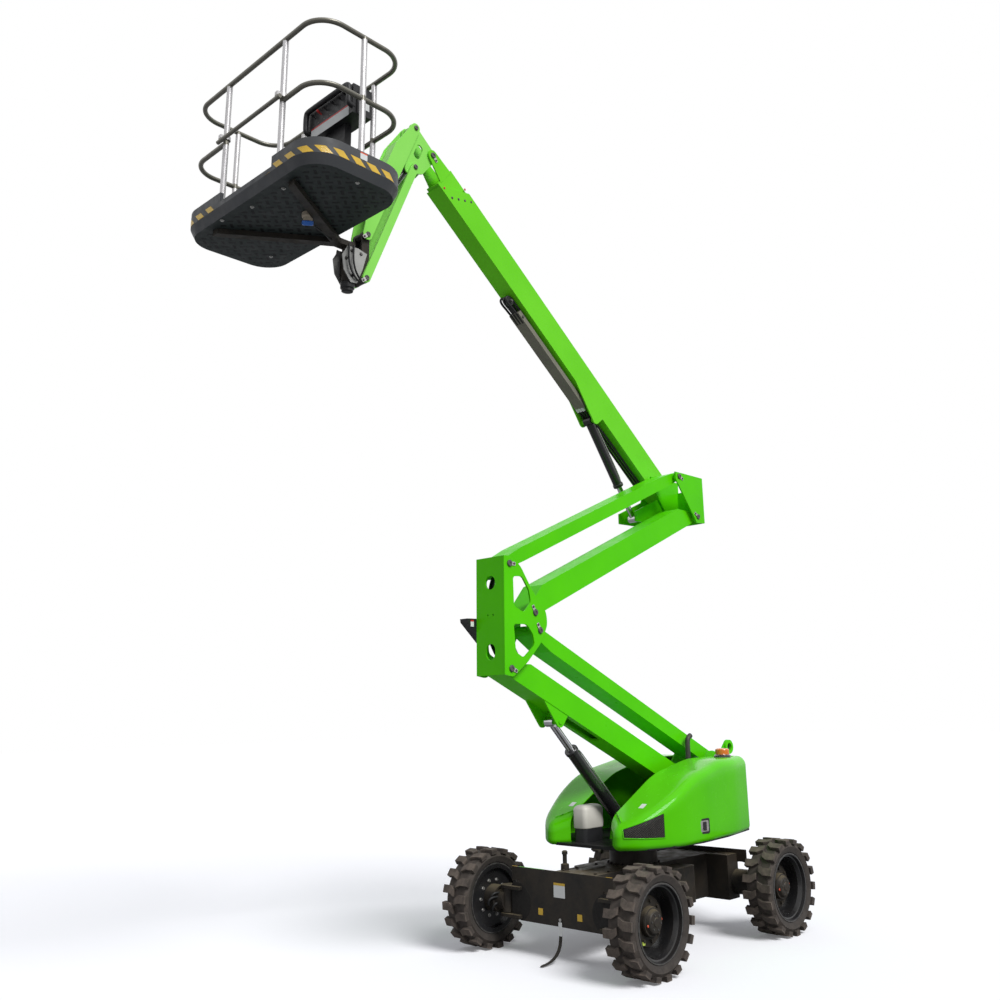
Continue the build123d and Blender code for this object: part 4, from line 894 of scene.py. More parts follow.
STRAP_LINE = (
    # x, z of the strap's middle, from its bolt down to the curled tail on the ground
    (0.9572, 0.32), (0.9572, 0.2), (0.9585, 0.16), (0.966, 0.12), (0.984, 0.085), (1.012, 0.055), (1.048, 0.034),
    (1.09, 0.02), (1.13, 0.014), (1.165, 0.012), (1.19, 0.008),
)
STRAP_Y, STRAP_HALF, STRAP_TIP = -0.005, 0.016, 0.008
last = len(STRAP_LINE) - 1
strap_rings = []
for index, (x, z) in enumerate(STRAP_LINE):
    before, after = STRAP_LINE[max(index - 1, 0)], STRAP_LINE[min(index + 1, last)]
    along = Vector((after[0] - before[0], 0, after[1] - before[1])).normalized()
    across = Vector((-along.z, 0, along.x)) * 0.0019
    half = STRAP_HALF if index < last else STRAP_TIP
    middle = Vector((x, STRAP_Y, z))
    ring = [middle + across * u + Vector((0, v * half, 0)) for u, v in ((1, 1), (1, -1), (-1, -1), (-1, 1))]
    strap_rings.append(ring)
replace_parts(loft("strap_tail", strap_rings, "chassis", "strap"), "static_strap")
plate("strap_sleeve", rectangle(0.036, 0.1, 0.004), 0.003, (0.9595, STRAP_Y, 0.235), AHEAD, "chassis", "pale")
for hand, side in HANDS:
    # painted shade: a dark round patch for the shade around the hub, cut off at the plate's edges
    hole = []
    for v in circle(side * 0.48, AXLE_Z, 0.15, 40):
        spot = Vector((min(max(v.x, -0.536), 0.536), max(v.y, 0.254)))
        if not hole or (spot - hole[-1]).length > 0.002:
            hole.append(spot)
    holed_plate(f"hub_hole_{hand}", hole, [], 0.0024, (0.9548, 0, 0), AHEAD, "chassis", "painted_shade")
bolt_heads("strap_bolt", [(0.9602, STRAP_Y, 0.3)], AHEAD, (0.008, 0.006, 0.013), "chassis", "zinc")
plate("deck_bar", rectangle(0.27, 0.03, 0.004), 0.012, (0.46, -0.065, DECK_Z), UP, "chassis", "grey")
deck_bolts = [(x, y, DECK_Z) for x in (0.3, 0.55, 0.72) for y in (-0.17, 0.17)]
bolt_heads("deck_bolts", deck_bolts, UP, (0.012, 0.01, 0.018), "chassis", "frame")
DECK_POST = (
    (0, 0.15), (0.014, 0.15), (0.024, 0.142), (0.024, 0.12), (0.018, 0.118), (0.018, 0.05), (0.034, 0.045), (0.036, 0),
    (0, 0),
)
lathe("deck_post", DECK_POST, (0.674, -0.195, DECK_Z), UP, "chassis", "frame", 24)
ring_bolts = [(0.219 * cos(turn), 0.219 * sin(turn), DECK_Z) for turn in map(radians, range(9, 369, 18))]
bolt_heads("slew_ring_bolts", ring_bolts, UP, (0.011, 0.012, 0.014), "chassis", "frame")
rear_bolts = [(-PLATE_FRONT, y, 0.605) for y in (-0.4, -0.2, 0.0, 0.2, 0.4)]
bolt_heads("rear_plate_bolts", rear_bolts, BEHIND, (0.01, 0.008, 0.015), "chassis", "frame")

# ---- hoods: latch, labels and a slot of painted shade ----
LATCH_SPOT, LATCH_OUT = (-0.15, 0.6495, 0.934), (0.04, 1, 0)
for name, size, thickness, paint, bevel in (
    ("latch_frame", (0.145, 0.12, 0.012), 0.006, "black", 0.0008),
    ("latch_dish", (0.11, 0.088, 0.01), 0.0075, "zinc", 0.0008),
    ("latch_handle", (0.045, 0.07, 0.008), 0.013, "black", 0.002),
):
    plate(name, rectangle(*size), thickness, LATCH_SPOT, LATCH_OUT, "left_hood", paint, bevel)


def surface_label(name, carrier, start, direction, size, body, paint, steps=8, lift=0.0015):
    """Thin label that follows a curved piece, cast on it from a flat grid."""
    base = frame_at(start, [-part for part in direction])
    work = bmesh.new()
    grid = []
    for row in range(steps + 1):
        line = []
        for column in range(steps + 1):
            flat = Vector(((column / steps - 0.5) * size[0], (row / steps - 0.5) * size[1], 0))
            spot, normal = cast(carrier, base @ flat, direction)
            line.append(work.verts.new(spot + normal * lift) if spot else None)
        grid.append(line)
    skin(work, grid)
    bmesh.ops.delete(work, geom=[vert for vert in work.verts if not vert.link_faces], context="VERTS")
    return from_bmesh(name, work, body, paint, smooth=True)


for name, carrier, start, direction, size, body, paint in (
    ("hood_label_near", left_shell, (1.5, 0.42, 2.35), (-1.0, 0, -1.1), (0.05, 0.06), "left_hood", "pale"),
    ("hood_label_far", right_shell, (1.5, -0.32, 2.3), (-1.0, 0, -1.1), (0.05, 0.06), "right_hood", "pale"),
    # painted shade: hood_slot_rear is a black sheet on the hood standing in for the shaded slot in its rear edge
    ("hood_slot_rear", left_shell, (-1.33, 0.9, 1.095), (0.25, -1, 0), (0.035, 0.28), "left_hood", "black"),
    ("hood_label_rear", left_shell, (-1.33, 0.9, 1.325), (0.25, -1, 0), (0.045, 0.045), "left_hood", "pale"),
):
    surface_label(name, carrier, start, direction, size, body, paint)

# ---- grille in the near hood's side: a lattice of diamonds over painted shade in its opening, with a green edge ----
GRILLE_REAR, GRILLE_FRONT = Vector((0.35, 0.608)), Vector((0.648, 0.415))
GRILLE_HEIGHTS = ((0.886, 1.077), (0.9, 0.965))
CELL_WIDTH, CELL_HEIGHT, WIRE_RADIUS, LATTICE_ROWS = 0.021, 0.0125, 0.0014, 40
grille_along = (GRILLE_FRONT - GRILLE_REAR).normalized()
grille_length = (GRILLE_FRONT - GRILLE_REAR).length
grille_out = Vector((-grille_along.y, grille_along.x, 0))


def grille_ends(distance):
    """Lowest and highest of the grille at a distance along it."""
    part = distance / grille_length
    rear, front = GRILLE_HEIGHTS
    return [rear[k] + (front[k] - rear[k]) * part for k in (0, 1)]


def grille_spot(distance, share, lift):
    """Point and normal on the hood at a distance along the grille and a share of its height."""
    low, high = grille_ends(distance)
    flat = GRILLE_REAR + grille_along * distance
    start = Vector((flat.x, flat.y, low + (high - low) * share)) + grille_out * 0.3
    spot, normal = cast(left_shell, start, -grille_out)
    return (spot + normal * lift, normal) if spot else (None, None)


work = bmesh.new()
rows = []
for step in range(17):
    distance = grille_length * step / 16
    rows.append([work.verts.new(grille_spot(distance, share / 8, 0.0012)[0]) for share in range(9)])
skin(work, rows)
# painted shade: grille_opening is a near-black sheet on the hood's surface standing in for the shade inside the opening
from_bmesh("grille_opening", work, "left_hood", "painted_shade", smooth=True)
border = [(grille_length * k / 14, 0.0) for k in range(15)]
border += [(grille_length, k / 4) for k in range(1, 5)]
border += [(grille_length * (1 - k / 14), 1.0) for k in range(1, 15)]
border += [(0.0, 1 - k / 8) for k in range(1, 8)]
border = [grille_spot(distance, share, 0.002)[0] for distance, share in border]
tube("grille_edge", border + border[:1], 0.004, "left_hood", "hood")


def diamond_form(new, join, given):
    """Open diamond of thin wire."""
    cell, wire = new("GeometryNodeCurvePrimitiveQuadrilateral"), new("GeometryNodeCurvePrimitiveCircle")
    cell.mode = "KITE"
    wire.inputs["Resolution"].default_value = 4
    join(given["Cell Width"], cell.inputs["Width"])
    join(given["Half Height"], cell.inputs["Bottom Height"])
    join(given["Half Height"], cell.inputs["Top Height"])
    join(given["Wire Radius"], wire.inputs["Radius"])
    thick = new("GeometryNodeCurveToMesh")
    join(cell.outputs[0], thick.inputs["Curve"])
    join(wire.outputs[0], thick.inputs["Profile Curve"])
    return thick.outputs[0]


spots, aims = [], []
for row in range(LATTICE_ROWS):
    z = GRILLE_HEIGHTS[0][0] + row * CELL_HEIGHT / 2
    for column in range(int(grille_length / CELL_WIDTH)):
        distance = (column + 0.5 + 0.5 * (row % 2)) * CELL_WIDTH
        low, high = grille_ends(distance)
        if distance / grille_length > 0.98 or z < low + 0.006 or z > high - 0.006:
            continue
        spot, normal = grille_spot(distance, (z - low) / (high - low), 0.0026)
        if spot:
            spots.append(spot)
            aims.append(normal)
alongs = [Vector(UP).cross(aim).normalized() for aim in aims]
lattice_sizes = {"Cell Width": CELL_WIDTH, "Half Height": CELL_HEIGHT / 2, "Wire Radius": WIRE_RADIUS}
lattice = scatter_tree("diamond_lattice", lattice_sizes, diamond_form, (("along", "X"), ("aim", "Z")))
directions = {"aim": aims, "along": alongs}
scatter("grille_lattice", spots, directions, lattice, lattice_sizes, "left_hood", "mesh")

# ---- exhaust, beacon, tank and lifting eye ----
EXHAUST = (
    (-0.6, 0.31, 1.222), (-0.6, 0.31, 1.29), (-0.63, 0.24, 1.305), (-0.662, 0.17, 1.32), (-0.662, 0.17, 1.4),
    (-0.662, 0.17, 1.5), (-0.662, 0.17, 1.59), (-0.672, 0.17, 1.63), (-0.715, 0.17, 1.648),
)
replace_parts(tube("exhaust_bend", EXHAUST, 0.024, "turret", "exhaust"), "exhaust_pipe")
BEACON = (
    (0, 0), (0.078, 0), (0.08, 0.006), (0.078, 0.022), (0.066, 0.03), (0.064, 0.034), (0.064, 0.07), (0.06, 0.078),
    (0.045, 0.084), (0, 0.086),
)
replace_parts(lathe("beacon_lamp", BEACON, (-0.86, 0.412, 1.446), UP, "left_hood", "beacon", 44), "beacon")
TANK_X, TANK_Y = 0.42, -0.14
TANK_LEVELS = (
    # inset, z
    (0.012, 0.93), (0.004, 0.932), (0.0, 0.94), (0.0, 1.079), (0.005, 1.093), (0.014, 1.104), (0.026, 1.111),
    (0.04, 1.115),
)
tank_rings = []
for inset, z in TANK_LEVELS:
    ring = rectangle(0.26 - 2 * inset, 0.152 - 2 * inset, max(0.04 - inset * 0.6, 0.01), 8)
    tank_rings.append([(TANK_X + x, TANK_Y + y, z) for x, y in ring])
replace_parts(loft("tank_shell", tank_rings, "turret", "tank"), "fluid_tank")
stand = rectangle(0.24, 0.14, 0.035, 6)
stand_rings = [[(TANK_X + x, TANK_Y + y, z) for x, y in stand] for z in (0.8222, 0.9298)]
loft("tank_stand", stand_rings, "turret", "black")
EYE_X, EYE_Z = -1.315, 1.524
eye_holes = [circle(0, 0, 0.038)]
holed_plate("eye_plate", circle(0, 0, 0.0655), eye_holes, 0.02, (EYE_X, 0.2055, EYE_Z), RIGHT, "turret", "green")
EYE_BUSH = ((0, 0.004), (0.037, 0.004), (0.037, 0), (0, 0))
lathe("eye_bush", EYE_BUSH, (EYE_X, 0.172, EYE_Z), LEFT, "turret", "pin", 28)

# ---- knuckle between the arms: plates with rounded windows, a front plate with round holes and the black rest ----
FOOT_X, FOOT_Z = PINS["knuckle_foot"]
FACE_X, KNUCKLE_TOP, KNUCKLE_HALF, KNUCKLE_WALL = 0.0731, 0.88, 0.159, 0.015
KNUCKLE_SIDE = (
    # x, z from the foot's pin, corner radius
    (FACE_X, -0.048, 0), (FACE_X, KNUCKLE_TOP, 0), (0.01, KNUCKLE_TOP, 0.09), (-0.111, 0.819, 0.18),
    (-0.247, 0.627, 0.2), (-0.41, 0.462, 0.11), (-0.425, 0.353, 0.13), (-0.342, 0.206, 0.2), (-0.186, 0.053, 0.2),
    (-0.02, -0.064, 0.06),
)
KNUCKLE_WINDOWS = (
    ((-0.03, 0.345, 0.025), (-0.18, 0.35, 0.06), (-0.25, 0.275, 0.07), (-0.27, 0.188, 0.045), (-0.14, 0.083, 0.05),
     (-0.052, 0.127, 0.045)),
    ((-0.028, 0.723, 0.03), (-0.132, 0.731, 0.045), (-0.212, 0.624, 0.06), (-0.233, 0.529, 0.045),
     (-0.149, 0.44, 0.045), (-0.036, 0.485, 0.03)),
)
side_outline, windows = rounded(KNUCKLE_SIDE), [rounded(window) for window in KNUCKLE_WINDOWS]
slot_hole = rounded(((-0.052, 0.07, 0.05), (0.052, 0.07, 0.05), (0.052, 0.194, 0.05), (-0.052, 0.194, 0.05)))
front_holes = [circle(0, 0.676, 0.056), slot_hole, circle(-0.03, 0.418, 0.009, 16), circle(0.03, 0.418, 0.009, 16)]
low, high, half = -0.048, KNUCKLE_TOP, KNUCKLE_HALF
front_outline = ((-half, low), (half, low), (half, high), (-half, high))
REST_BOX = ((-0.04, 0.19), (0.165, 0.372), (0.17, 0.4), (-0.04, 0.405))
front_spot = (FOOT_X + FACE_X - KNUCKLE_WALL, 0, FOOT_Z)
near_spot, far_spot = (FOOT_X, KNUCKLE_HALF, FOOT_Z), (FOOT_X, KNUCKLE_WALL - KNUCKLE_HALF, FOOT_Z)
knuckle_plates = (
    # name, outline, holes, origin, normal
    ("knuckle_plate_near", side_outline, windows, near_spot, RIGHT),
    ("knuckle_plate_far", side_outline, windows, far_spot, RIGHT),
    ("knuckle_plate_front", front_outline, front_holes, front_spot, AHEAD),
)
for name, outline, holes, origin, normal in knuckle_plates:
    piece = holed_plate(name, outline, holes, KNUCKLE_WALL, origin, normal, "lower_knuckle", "green")
    if name == "knuckle_plate_near":
        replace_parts(piece, "knuckle_one")
KNUCKLE_PIN = ((0, 0), (0.025, 0), (0.025, 2 * KNUCKLE_HALF), (0, 2 * KNUCKLE_HALF))
for index, joint_name in enumerate(("knuckle_foot", "knuckle_tie", "knuckle_top", "knuckle_second")):
    x, z = PINS[joint_name]
    lathe(f"knuckle_pin_{index}", KNUCKLE_PIN, (x, -KNUCKLE_HALF, z), LEFT, "lower_knuckle", "pin", 28)
holed_plate("rest_box", REST_BOX, [], 0.09, (FOOT_X, -0.1595, FOOT_Z), RIGHT, "lower_knuckle", "black")
label("rest_label", (0.035, 0.05), (1.756, -0.159, 2.585), LEFT, "lower_knuckle", "pale", 0.003)
label("rest_label_edge", (0.035, 0.014), (1.756, -0.159, 2.606), LEFT, "lower_knuckle", "red", 0.002, 0.0014)

# ---- boom: dots and bolts at its mouth, hoses, roller fittings and connectors at the tray's lower end ----
MOUTH_DOT = ((0, 0.003), (0.009, 0.003), (0.011, 0), (0, 0))
CONNECTOR = ((0, 0.05), (0.014, 0.05), (0.017, 0.042), (0.017, 0), (0, 0))
ROLLER_RIM = ((0, 0.01), (0.04, 0.01), (0.043, 0.006), (0.043, 0), (0, 0))
TRAY_LINE = ((2.45, -0.21), (2.6, -0.215), (2.74, -0.235), (2.74, -0.16), (2.62, -0.15), (2.4, -0.155))
BOOM_LINE = (
    # along the boom, above its middle line
    (1.45, -0.2), (1.34, -0.2), (1.22, -0.19), (1.05, -0.165), (0.8, -0.16), (0.5, -0.16), (0.3, -0.15),
)
for index, (along_boom, above) in enumerate(((3.72, 0.115), (3.86, -0.1))):
    lathe(f"mouth_dot_{index}", MOUTH_DOT, on_boom(along_boom, above, -0.184), LEFT, "outer_boom", "red", 16)
mouth_bolts = [on_boom(3.6 + 0.05 * index, 0.09 - 0.06 * index, -0.1848) for index in range(4)]
bolt_heads("mouth_bolts", mouth_bolts, LEFT, (0.008, 0.006, 0.012), "outer_boom", "pin")
for index, y in enumerate((-0.31, -0.275, -0.24)):
    tube(f"tray_hose_{index}", [on_boom(a, b, y) for a, b in TRAY_LINE], 0.011, "outer_boom", "hose")
boom_along = on_boom(1, 0, 0) - on_boom(0, 0, 0)
for index, y in enumerate((-0.325, -0.29, -0.255)):
    tube(f"boom_hose_{index}", [on_boom(a, b, y) for a, b in BOOM_LINE], 0.011, "outer_boom", "hose")
    foot = on_boom(1.36, -0.2, y)
    lathe(f"boom_connector_{index}", CONNECTOR, foot, boom_along, "outer_boom", "pale", 14)
lathe("roller_rim_near", ROLLER_RIM, on_boom(2.69, -0.1925, -0.2405), LEFT, "outer_boom", "black", 28)
roller_bolts = [on_boom(along_boom, -0.1925, -0.2148) for along_boom in (2.69, 2.5)]
bolt_heads("roller_bolts", roller_bolts, LEFT, (0.011, 0.009, 0.016), "outer_boom", "pin")

# ---- cylinders: gland rings, pipes along the barrels and a hose at the riser's foot ----
joints = {joint["name"]: joint for joint in frame["joints"]}
rams = (("riser", 0.052, 0.93), ("boom", 0.045, 0.732), ("jib", 0.032, 0.524))
for name, radius, length in rams:
    body = f"{name}_barrel"
    swing = Vector(joints[f"{name}_barrel_swing"]["pos_m"])
    line = Vector(joints[f"{name}_rod_slide"]["axis"]).normalized()
    inner = radius * 0.64
    gland = (
        (inner, 0.0), (radius + 0.005, 0.0), (radius + 0.007, 0.004), (radius + 0.007, 0.028),
        (radius + 0.003, 0.034), (inner, 0.034),
    )
    lathe(f"{name}_gland", gland, swing + line * (length - 0.03), line, body, "barrel", closed=True)
    side = Vector(LEFT)
    out = line.cross(side).normalized()
    if out.z < 0:
        out = -out
    offset = side * (radius * 0.55) + out * (radius * 0.9 + 0.006)
    pipe_line = (
        # along the barrel, share of the offset
        (0.1, 0.95), (0.16, 1.0), (length * 0.5, 1.0), (length - 0.12, 1.0), (length - 0.06, 0.95),
        (length - 0.04, 0.8),
    )
    tube(f"{name}_ram_pipe", [swing + line * a + offset * b for a, b in pipe_line], 0.005, body, "zinc")
    if name == "riser":
        foot_line = ((0.12, 1.0, 0.0), (0.02, 1.5, 0.01), (-0.04, 1.3, 0.03), (-0.05, 0.2, 0.04))
        points = [swing + line * a + offset * b + side * c for a, b, c in foot_line]
        tube("riser_foot_hose", points, 0.01, body, "hose")

# ---- knuckle: hoses that loop between the arms inside its windows ----
for index, (y, bow) in enumerate(((-0.11, 0.0), (-0.085, 0.025), (0.12, 0.01))):
    line = ((1.53, 2.33), (1.6, 2.42 + bow), (1.64, 2.58), (1.6 - bow, 2.74), (1.61, 2.9), (1.55, 2.99))
    tube(f"knuckle_hose_{index}", [(x, y, z) for x, z in line], 0.012, "lower_knuckle", "hose")
valve = rectangle(0.11, 0.16, 0.012)
plate("knuckle_valve", valve, 0.07, (1.62, 0.02, 2.62), AHEAD, "lower_knuckle", "black", 0.004)

# ---- head and jib: hoses along the jib, and the grey mount with its motor under the basket ----
JIB_LINE = ((2.26, 6.6), (2.36, 6.52), (2.5, 6.36), (2.62, 6.1), (2.74, 5.82), (2.8, 5.68), (2.86, 5.5))
for index, y in enumerate((-0.3, -0.275, -0.25)):
    tube(f"jib_hose_{index}", [(x, y, z) for x, z in JIB_LINE], 0.01, "jib", "hose")
MOUNT_X, MOUNT_Z, MOUNT_PLATE = 2.94, 5.36, 0.006
MOUNT_SIDE = (
    (-0.09, 0.1), (0.0, 0.12), (0.1, 0.11), (0.15, 0.02), (0.13, -0.1), (0.06, -0.19), (0.0, -0.18), (-0.05, -0.05),
)
MOUNT_HOSE = (
    # x, distance out of the plate, z
    (2.99, 0.02, 5.48), (3.0, 0.026, 5.4), (2.99, 0.03, 5.3), (2.95, 0.026, 5.23), (2.9, 0.018, 5.2),
)
for hand, y, side in (("near", -0.2165, 1), ("far", -0.3335, -1)):
    corners = MOUNT_SIDE if side < 0 else [(-x, z) for x, z in reversed(MOUNT_SIDE)]
    out = (0, side, 0)
    plate(f"mount_plate_{hand}", corners, MOUNT_PLATE, (MOUNT_X, y, MOUNT_Z), out, "jib_mount", "grey", 0.0012)
    places = ((-0.03, 0.08), (0.06, 0.08), (0.11, 0.0), (0.05, -0.13))
    spots = [(MOUNT_X + x, y + side * MOUNT_PLATE, MOUNT_Z + z) for x, z in places]
    bolt_heads(f"mount_bolts_{hand}", spots, out, (0.011, 0.008, 0.016), "jib_mount", "pin")
    for index, shift in enumerate((0.0, 0.045)):
        points = [(x + shift, y + side * away, z) for x, away, z in MOUNT_HOSE]
        tube(f"mount_hose_{hand}_{index}", points, 0.008, "jib_mount", "hose")
MOTOR = ((0, 0), (0.05, 0), (0.056, 0.006), (0.056, 0.05), (0.046, 0.056), (0.046, 0.075), (0.03, 0.082), (0, 0.082))
lathe("turn_motor", MOTOR, (2.985, BOOM_Y, 5.19), DOWN, "jib_mount", "black", 36)

# ---- basket: hazard blocks that follow the pan, socket and bolts ----
pan_low, pan_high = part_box("basket_pan")
PAN_X, PAN_Y, PAN_Z = (pan_low[0] + pan_high[0]) / 2, (pan_low[1] + pan_high[1]) / 2, pan_low[2]
HALF_X, HALF_Y, CORNER = (pan_high[0] - pan_low[0]) / 2, (pan_high[1] - pan_low[1]) / 2, 0.245


def pan_edge(s):
    """Point and outward direction on the pan's outline at a distance from the middle of its entry side, towards +Y."""
    straight, arc, side = HALF_Y - CORNER, CORNER * pi / 2, HALF_X - CORNER
    sign = 1 if s >= 0 else -1
    s = abs(s)
    if s <= straight:
        return Vector((PAN_X + HALF_X, PAN_Y + sign * s, 0)), Vector((1, 0, 0))
    if s <= straight + arc:
        turn = (s - straight) / CORNER
        direction = Vector((cos(turn), sign * sin(turn), 0))
        centre = Vector((PAN_X + side, PAN_Y + sign * straight, 0))
        return centre + direction * CORNER, direction
    return Vector((PAN_X + side - (s - straight - arc), PAN_Y + sign * HALF_Y, 0)), Vector((0, sign, 0))


def hazard_block(name, corners, paint, steps=6):
    """Thin block over a four-sided patch of the pan's wall, its corners as distance along the outline and height."""
    work = bmesh.new()
    a, b, c, d = (Vector(corner) for corner in corners)
    columns = []
    for step in range(steps + 1):
        column = []
        for s, z in (a.lerp(b, step / steps), d.lerp(c, step / steps)):
            edge, out = pan_edge(s)
            spot, normal = cast(nodes["basket_pan"], edge + out * 0.1 + Vector((0, 0, z)), -out)
            column.append([work.verts.new(spot + normal * lift) for lift in (0.0003, 0.0018)])
        columns.append(column)
    for first, second in zip(columns, columns[1:]):
        work.faces.new((first[0][1], second[0][1], second[1][1], first[1][1]))
        work.faces.new((first[0][0], first[1][0], second[1][0], second[0][0]))
        work.faces.new((first[0][0], second[0][0], second[0][1], first[0][1]))
        work.faces.new((first[1][0], first[1][1], second[1][1], second[1][0]))
    for column in (columns[0], columns[-1]):
        work.faces.new((column[0][0], column[0][1], column[1][1], column[1][0]))
    return from_bmesh(name, work, "basket", paint)


BLOCK_LOW, BLOCK_HIGH, BLOCK_HALF, LEAN = PAN_Z + 0.073, PAN_Z + 0.123, 0.04, 0.026
BLOCKS = (-0.735, -0.587, -0.438, 0.493, 0.64, 0.785, 0.915, 1.044, 1.183, 1.317, 1.447)
for index, s in enumerate(BLOCKS):
    left, right = s - BLOCK_HALF, s + BLOCK_HALF
    bottom, top = (left + LEAN, right + LEAN), (right - LEAN, left - LEAN)
    corners = [(part, BLOCK_LOW) for part in bottom] + [(part, BLOCK_HIGH) for part in top]
    hazard_block(f"hazard_{index}", corners, "yellow")
# A corner of entry_triangle lies in the entry notch, so its ray meets the far wall and the piece is stretched.
for name, low, high, ends, top, paint in (
    ("entry_triangle", 0.073, 0.123, (0.335, 0.4), (0.367, 0.369), "yellow"),
    ("pan_label", 0.128, 0.172, (1.2, 1.26), (1.2, 1.26), "pale"),
    ("pan_label_edge", 0.1722, 0.183, (1.2, 1.26), (1.2, 1.26), "orange"),
):
    low, high = PAN_Z + low, PAN_Z + high
    corners = ((ends[0], low), (ends[1], low), (top[1], high), (top[0], high))
    hazard_block(name, corners, paint, steps=1)
SOCKET_X, SOCKET_Y = 3.5, -0.08
SOCKET_BODY = ((0, 0), (0.045, 0), (0.045, 0.03), (0.036, 0.04), (0.036, 0.07), (0, 0.07))
SOCKET_CAP = ((0, 0), (0.04, 0), (0.043, 0.006), (0.043, 0.03), (0.034, 0.036), (0, 0.036))
cap_spot, cap_aim = (SOCKET_X, SOCKET_Y, PAN_Z - 0.06), (-0.3, -0.4, -1)
lathe("socket_body", SOCKET_BODY, (SOCKET_X, SOCKET_Y, PAN_Z - 0.002), DOWN, "basket", "beige", 24)
lathe("socket_cap", SOCKET_CAP, cap_spot, cap_aim, "basket", "blue", 24)
PAN_BOLTS = ((3.895, -0.625), (3.506, 0.536), (3.83, 0.105), (3.846, -0.285), (3.3, -0.9))
pan_bolts = [(x, y, PAN_Z - 0.0005) for x, y in PAN_BOLTS]
bolt_heads("pan_bolts", pan_bolts, DOWN, (0.01, 0.008, 0.016), "basket", "zinc")
LEAD_LINE = ((SOCKET_X, SOCKET_Y, -0.03), (3.42, -0.12, -0.06), (3.3, -0.19, -0.03), (3.18, -0.23, -0.05))
tube("socket_lead", [(x, y, PAN_Z + z) for x, y, z in LEAD_LINE], 0.006, "basket", "hose")

# ---- console: face strip, levers, switches, padded guard and side boxes ----
console_low, console_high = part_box("console")
PANEL = Vector((console_low[0] + 0.085, (console_low[1] + console_high[1]) / 2, console_high[2] - 0.282))


def panel_plate(name, size, thickness, place, normal, paint, bevel):
    """Plate on the console, its size with a corner radius and its place measured from the panel."""
    plate(name, rectangle(*size), thickness, PANEL + Vector(place), normal, "basket", paint, bevel)


panel_plate("console_strip", (0.5, 0.08, 0.006), 0.0015, (0.0852, 0, 0.068), AHEAD, "pale", 0.0005)
panel_plate("console_strip_edge", (0.5, 0.014, 0.003), 0.0018, (0.0852, 0, 0.112), AHEAD, "red", 0.0005)
face_normal = Vector((0.13, 0, 0.06)).normalized()
face_middle = PANEL + Vector((0.055, 0, 0.187)) + face_normal * 0.001
LEVER = (
    (0, 0.082), (0.009, 0.08), (0.012, 0.07), (0.008, 0.05), (0.005, 0.044), (0.005, 0.02), (0.013, 0.014), (0.02, 0.0),
    (0, 0),
)
for index, y in enumerate((-0.2, -0.12, -0.04, 0.06, 0.15, 0.22)):
    paint = "red" if index == 1 else "black"
    lathe(f"lever_{index}", LEVER, face_middle + Vector((0, y, 0)), face_normal, "basket", paint, 14)
switches = [face_middle + Vector((0.02, y, -0.04)) for y in (-0.23, -0.16, -0.08, 0.0, 0.1, 0.18)]
bolt_heads("switch_collars", switches, face_normal, (0.008, 0.008, 0.013), "basket", "zinc")
GUARD_HALF = (
    # x, y, z on the panel, from the foot of one leg to beside the middle
    (0.066, 0.284, 0.09), (0.114, 0.284, 0.09), (0.116, 0.286, 0.14), (0.116, 0.286, 0.24), (0.116, 0.27, 0.27),
    (0.116, 0.2, 0.272),
)
guard = [(x, -y, z) for x, y, z in GUARD_HALF] + [(0.116, 0.0, 0.272)] + list(GUARD_HALF[::-1])
tube("console_guard", [PANEL + Vector(point) for point in guard], 0.022, "basket", "black")
panel_plate("console_side_box", (0.13, 0.2, 0.012), 0.02, (-0.01, 0.3002, 0.12), LEFT, "black", 0.003)
panel_plate("console_side_label", (0.05, 0.1, 0.004), 0.0012, (-0.03, 0.3204, 0.13), LEFT, "pale", 0.0004)
panel_plate("console_papers", (0.2, 0.26, 0.01), 0.03, (0.03, 0, -0.25), AHEAD, "black", 0.003)


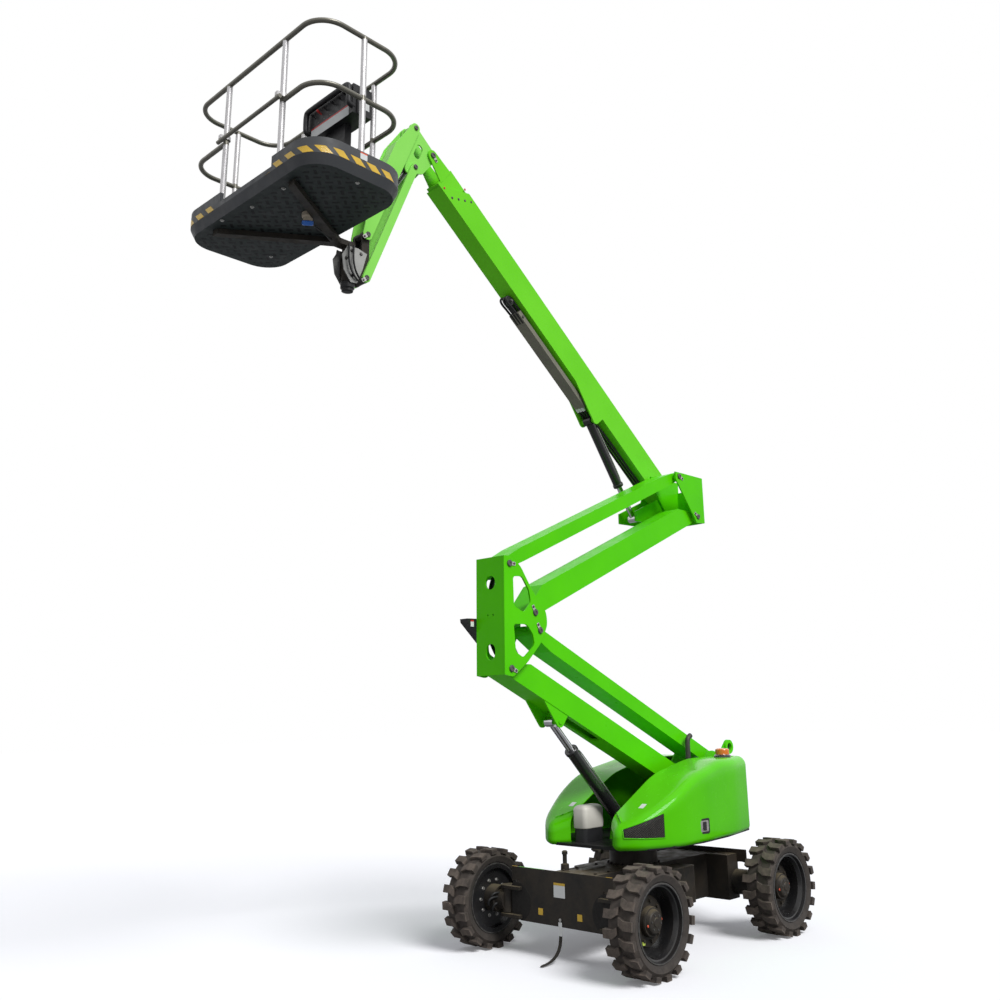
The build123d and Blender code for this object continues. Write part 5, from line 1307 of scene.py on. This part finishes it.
# ---- floor, sky and sun ----
def add_stage():
    mesh = bpy.data.meshes.new("floor")
    work = bmesh.new()
    bmesh.ops.create_grid(work, x_segments=1, y_segments=1, size=60)
    work.to_mesh(mesh)
    work.free()
    floor = shown("floor", mesh)
    look = Finish("floor", (0.34, 0.34, 0.35), 1.0)
    look.set(Specular_IOR_Level=0.0)
    seen = look.add("LightPath").outputs["Is Camera Ray"]
    look.tint(seen, (0.93, 0.93, 0.96))
    lift = look.add("Emission", Color=(0.98, 0.98, 1, 1), Strength=look.maths("MULTIPLY", seen, 0.12))
    total = look.add("AddShader")
    look.link(look.shader.outputs[0], total.inputs[0])
    look.link(lift.outputs[0], total.inputs[1])
    look.link(total.outputs[0], look.tree.nodes["Material Output"].inputs["Surface"])
    floor.data.materials.append(look.material)
    floor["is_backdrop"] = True


def add_sky():
    """Dim blue light on the part, and plain white for the camera and in mirrors."""
    world = bpy.data.worlds.new("sky")
    bpy.context.scene.world = world
    world.use_nodes = True
    new, join = world.node_tree.nodes.new, world.node_tree.links.new
    sky, white = world.node_tree.nodes["Background"], new("ShaderNodeBackground")
    for shader, colour, strength in ((sky, (0.92, 0.95, 1, 1), 0.36), (white, (1, 1, 1, 1), 1.0)):
        shader.inputs["Color"].default_value = colour
        shader.inputs["Strength"].default_value = strength
    rays = new("ShaderNodeLightPath")
    share = rays.outputs["Is Camera Ray"]
    for kind in ("Is Glossy Ray", "Is Transmission Ray"):
        most = new("ShaderNodeMath")
        most.operation = "MAXIMUM"
        join(share, most.inputs[0])
        join(rays.outputs[kind], most.inputs[1])
        share = most.outputs[0]
    mix = new("ShaderNodeMixShader")
    join(share, mix.inputs[0])
    join(sky.outputs[0], mix.inputs[1])
    join(white.outputs[0], mix.inputs[2])
    join(mix.outputs[0], world.node_tree.nodes["World Output"].inputs["Surface"])


def add_sun():
    sun = bpy.data.lights.new("sun", "SUN")
    sun.energy, sun.angle = 2.8, radians(28)
    lamp = shown("sun", sun)
    lamp.rotation_mode = "QUATERNION"
    lamp.rotation_quaternion = Vector((0.1, 0.75, 0.8)).to_track_quat("Z", "Y")


add_stage()
add_sky()
add_sun()
bpy.context.scene.view_settings.view_transform = "Standard"

sizes = {"cad": cad_box, "scene": [list(corner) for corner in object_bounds()]}
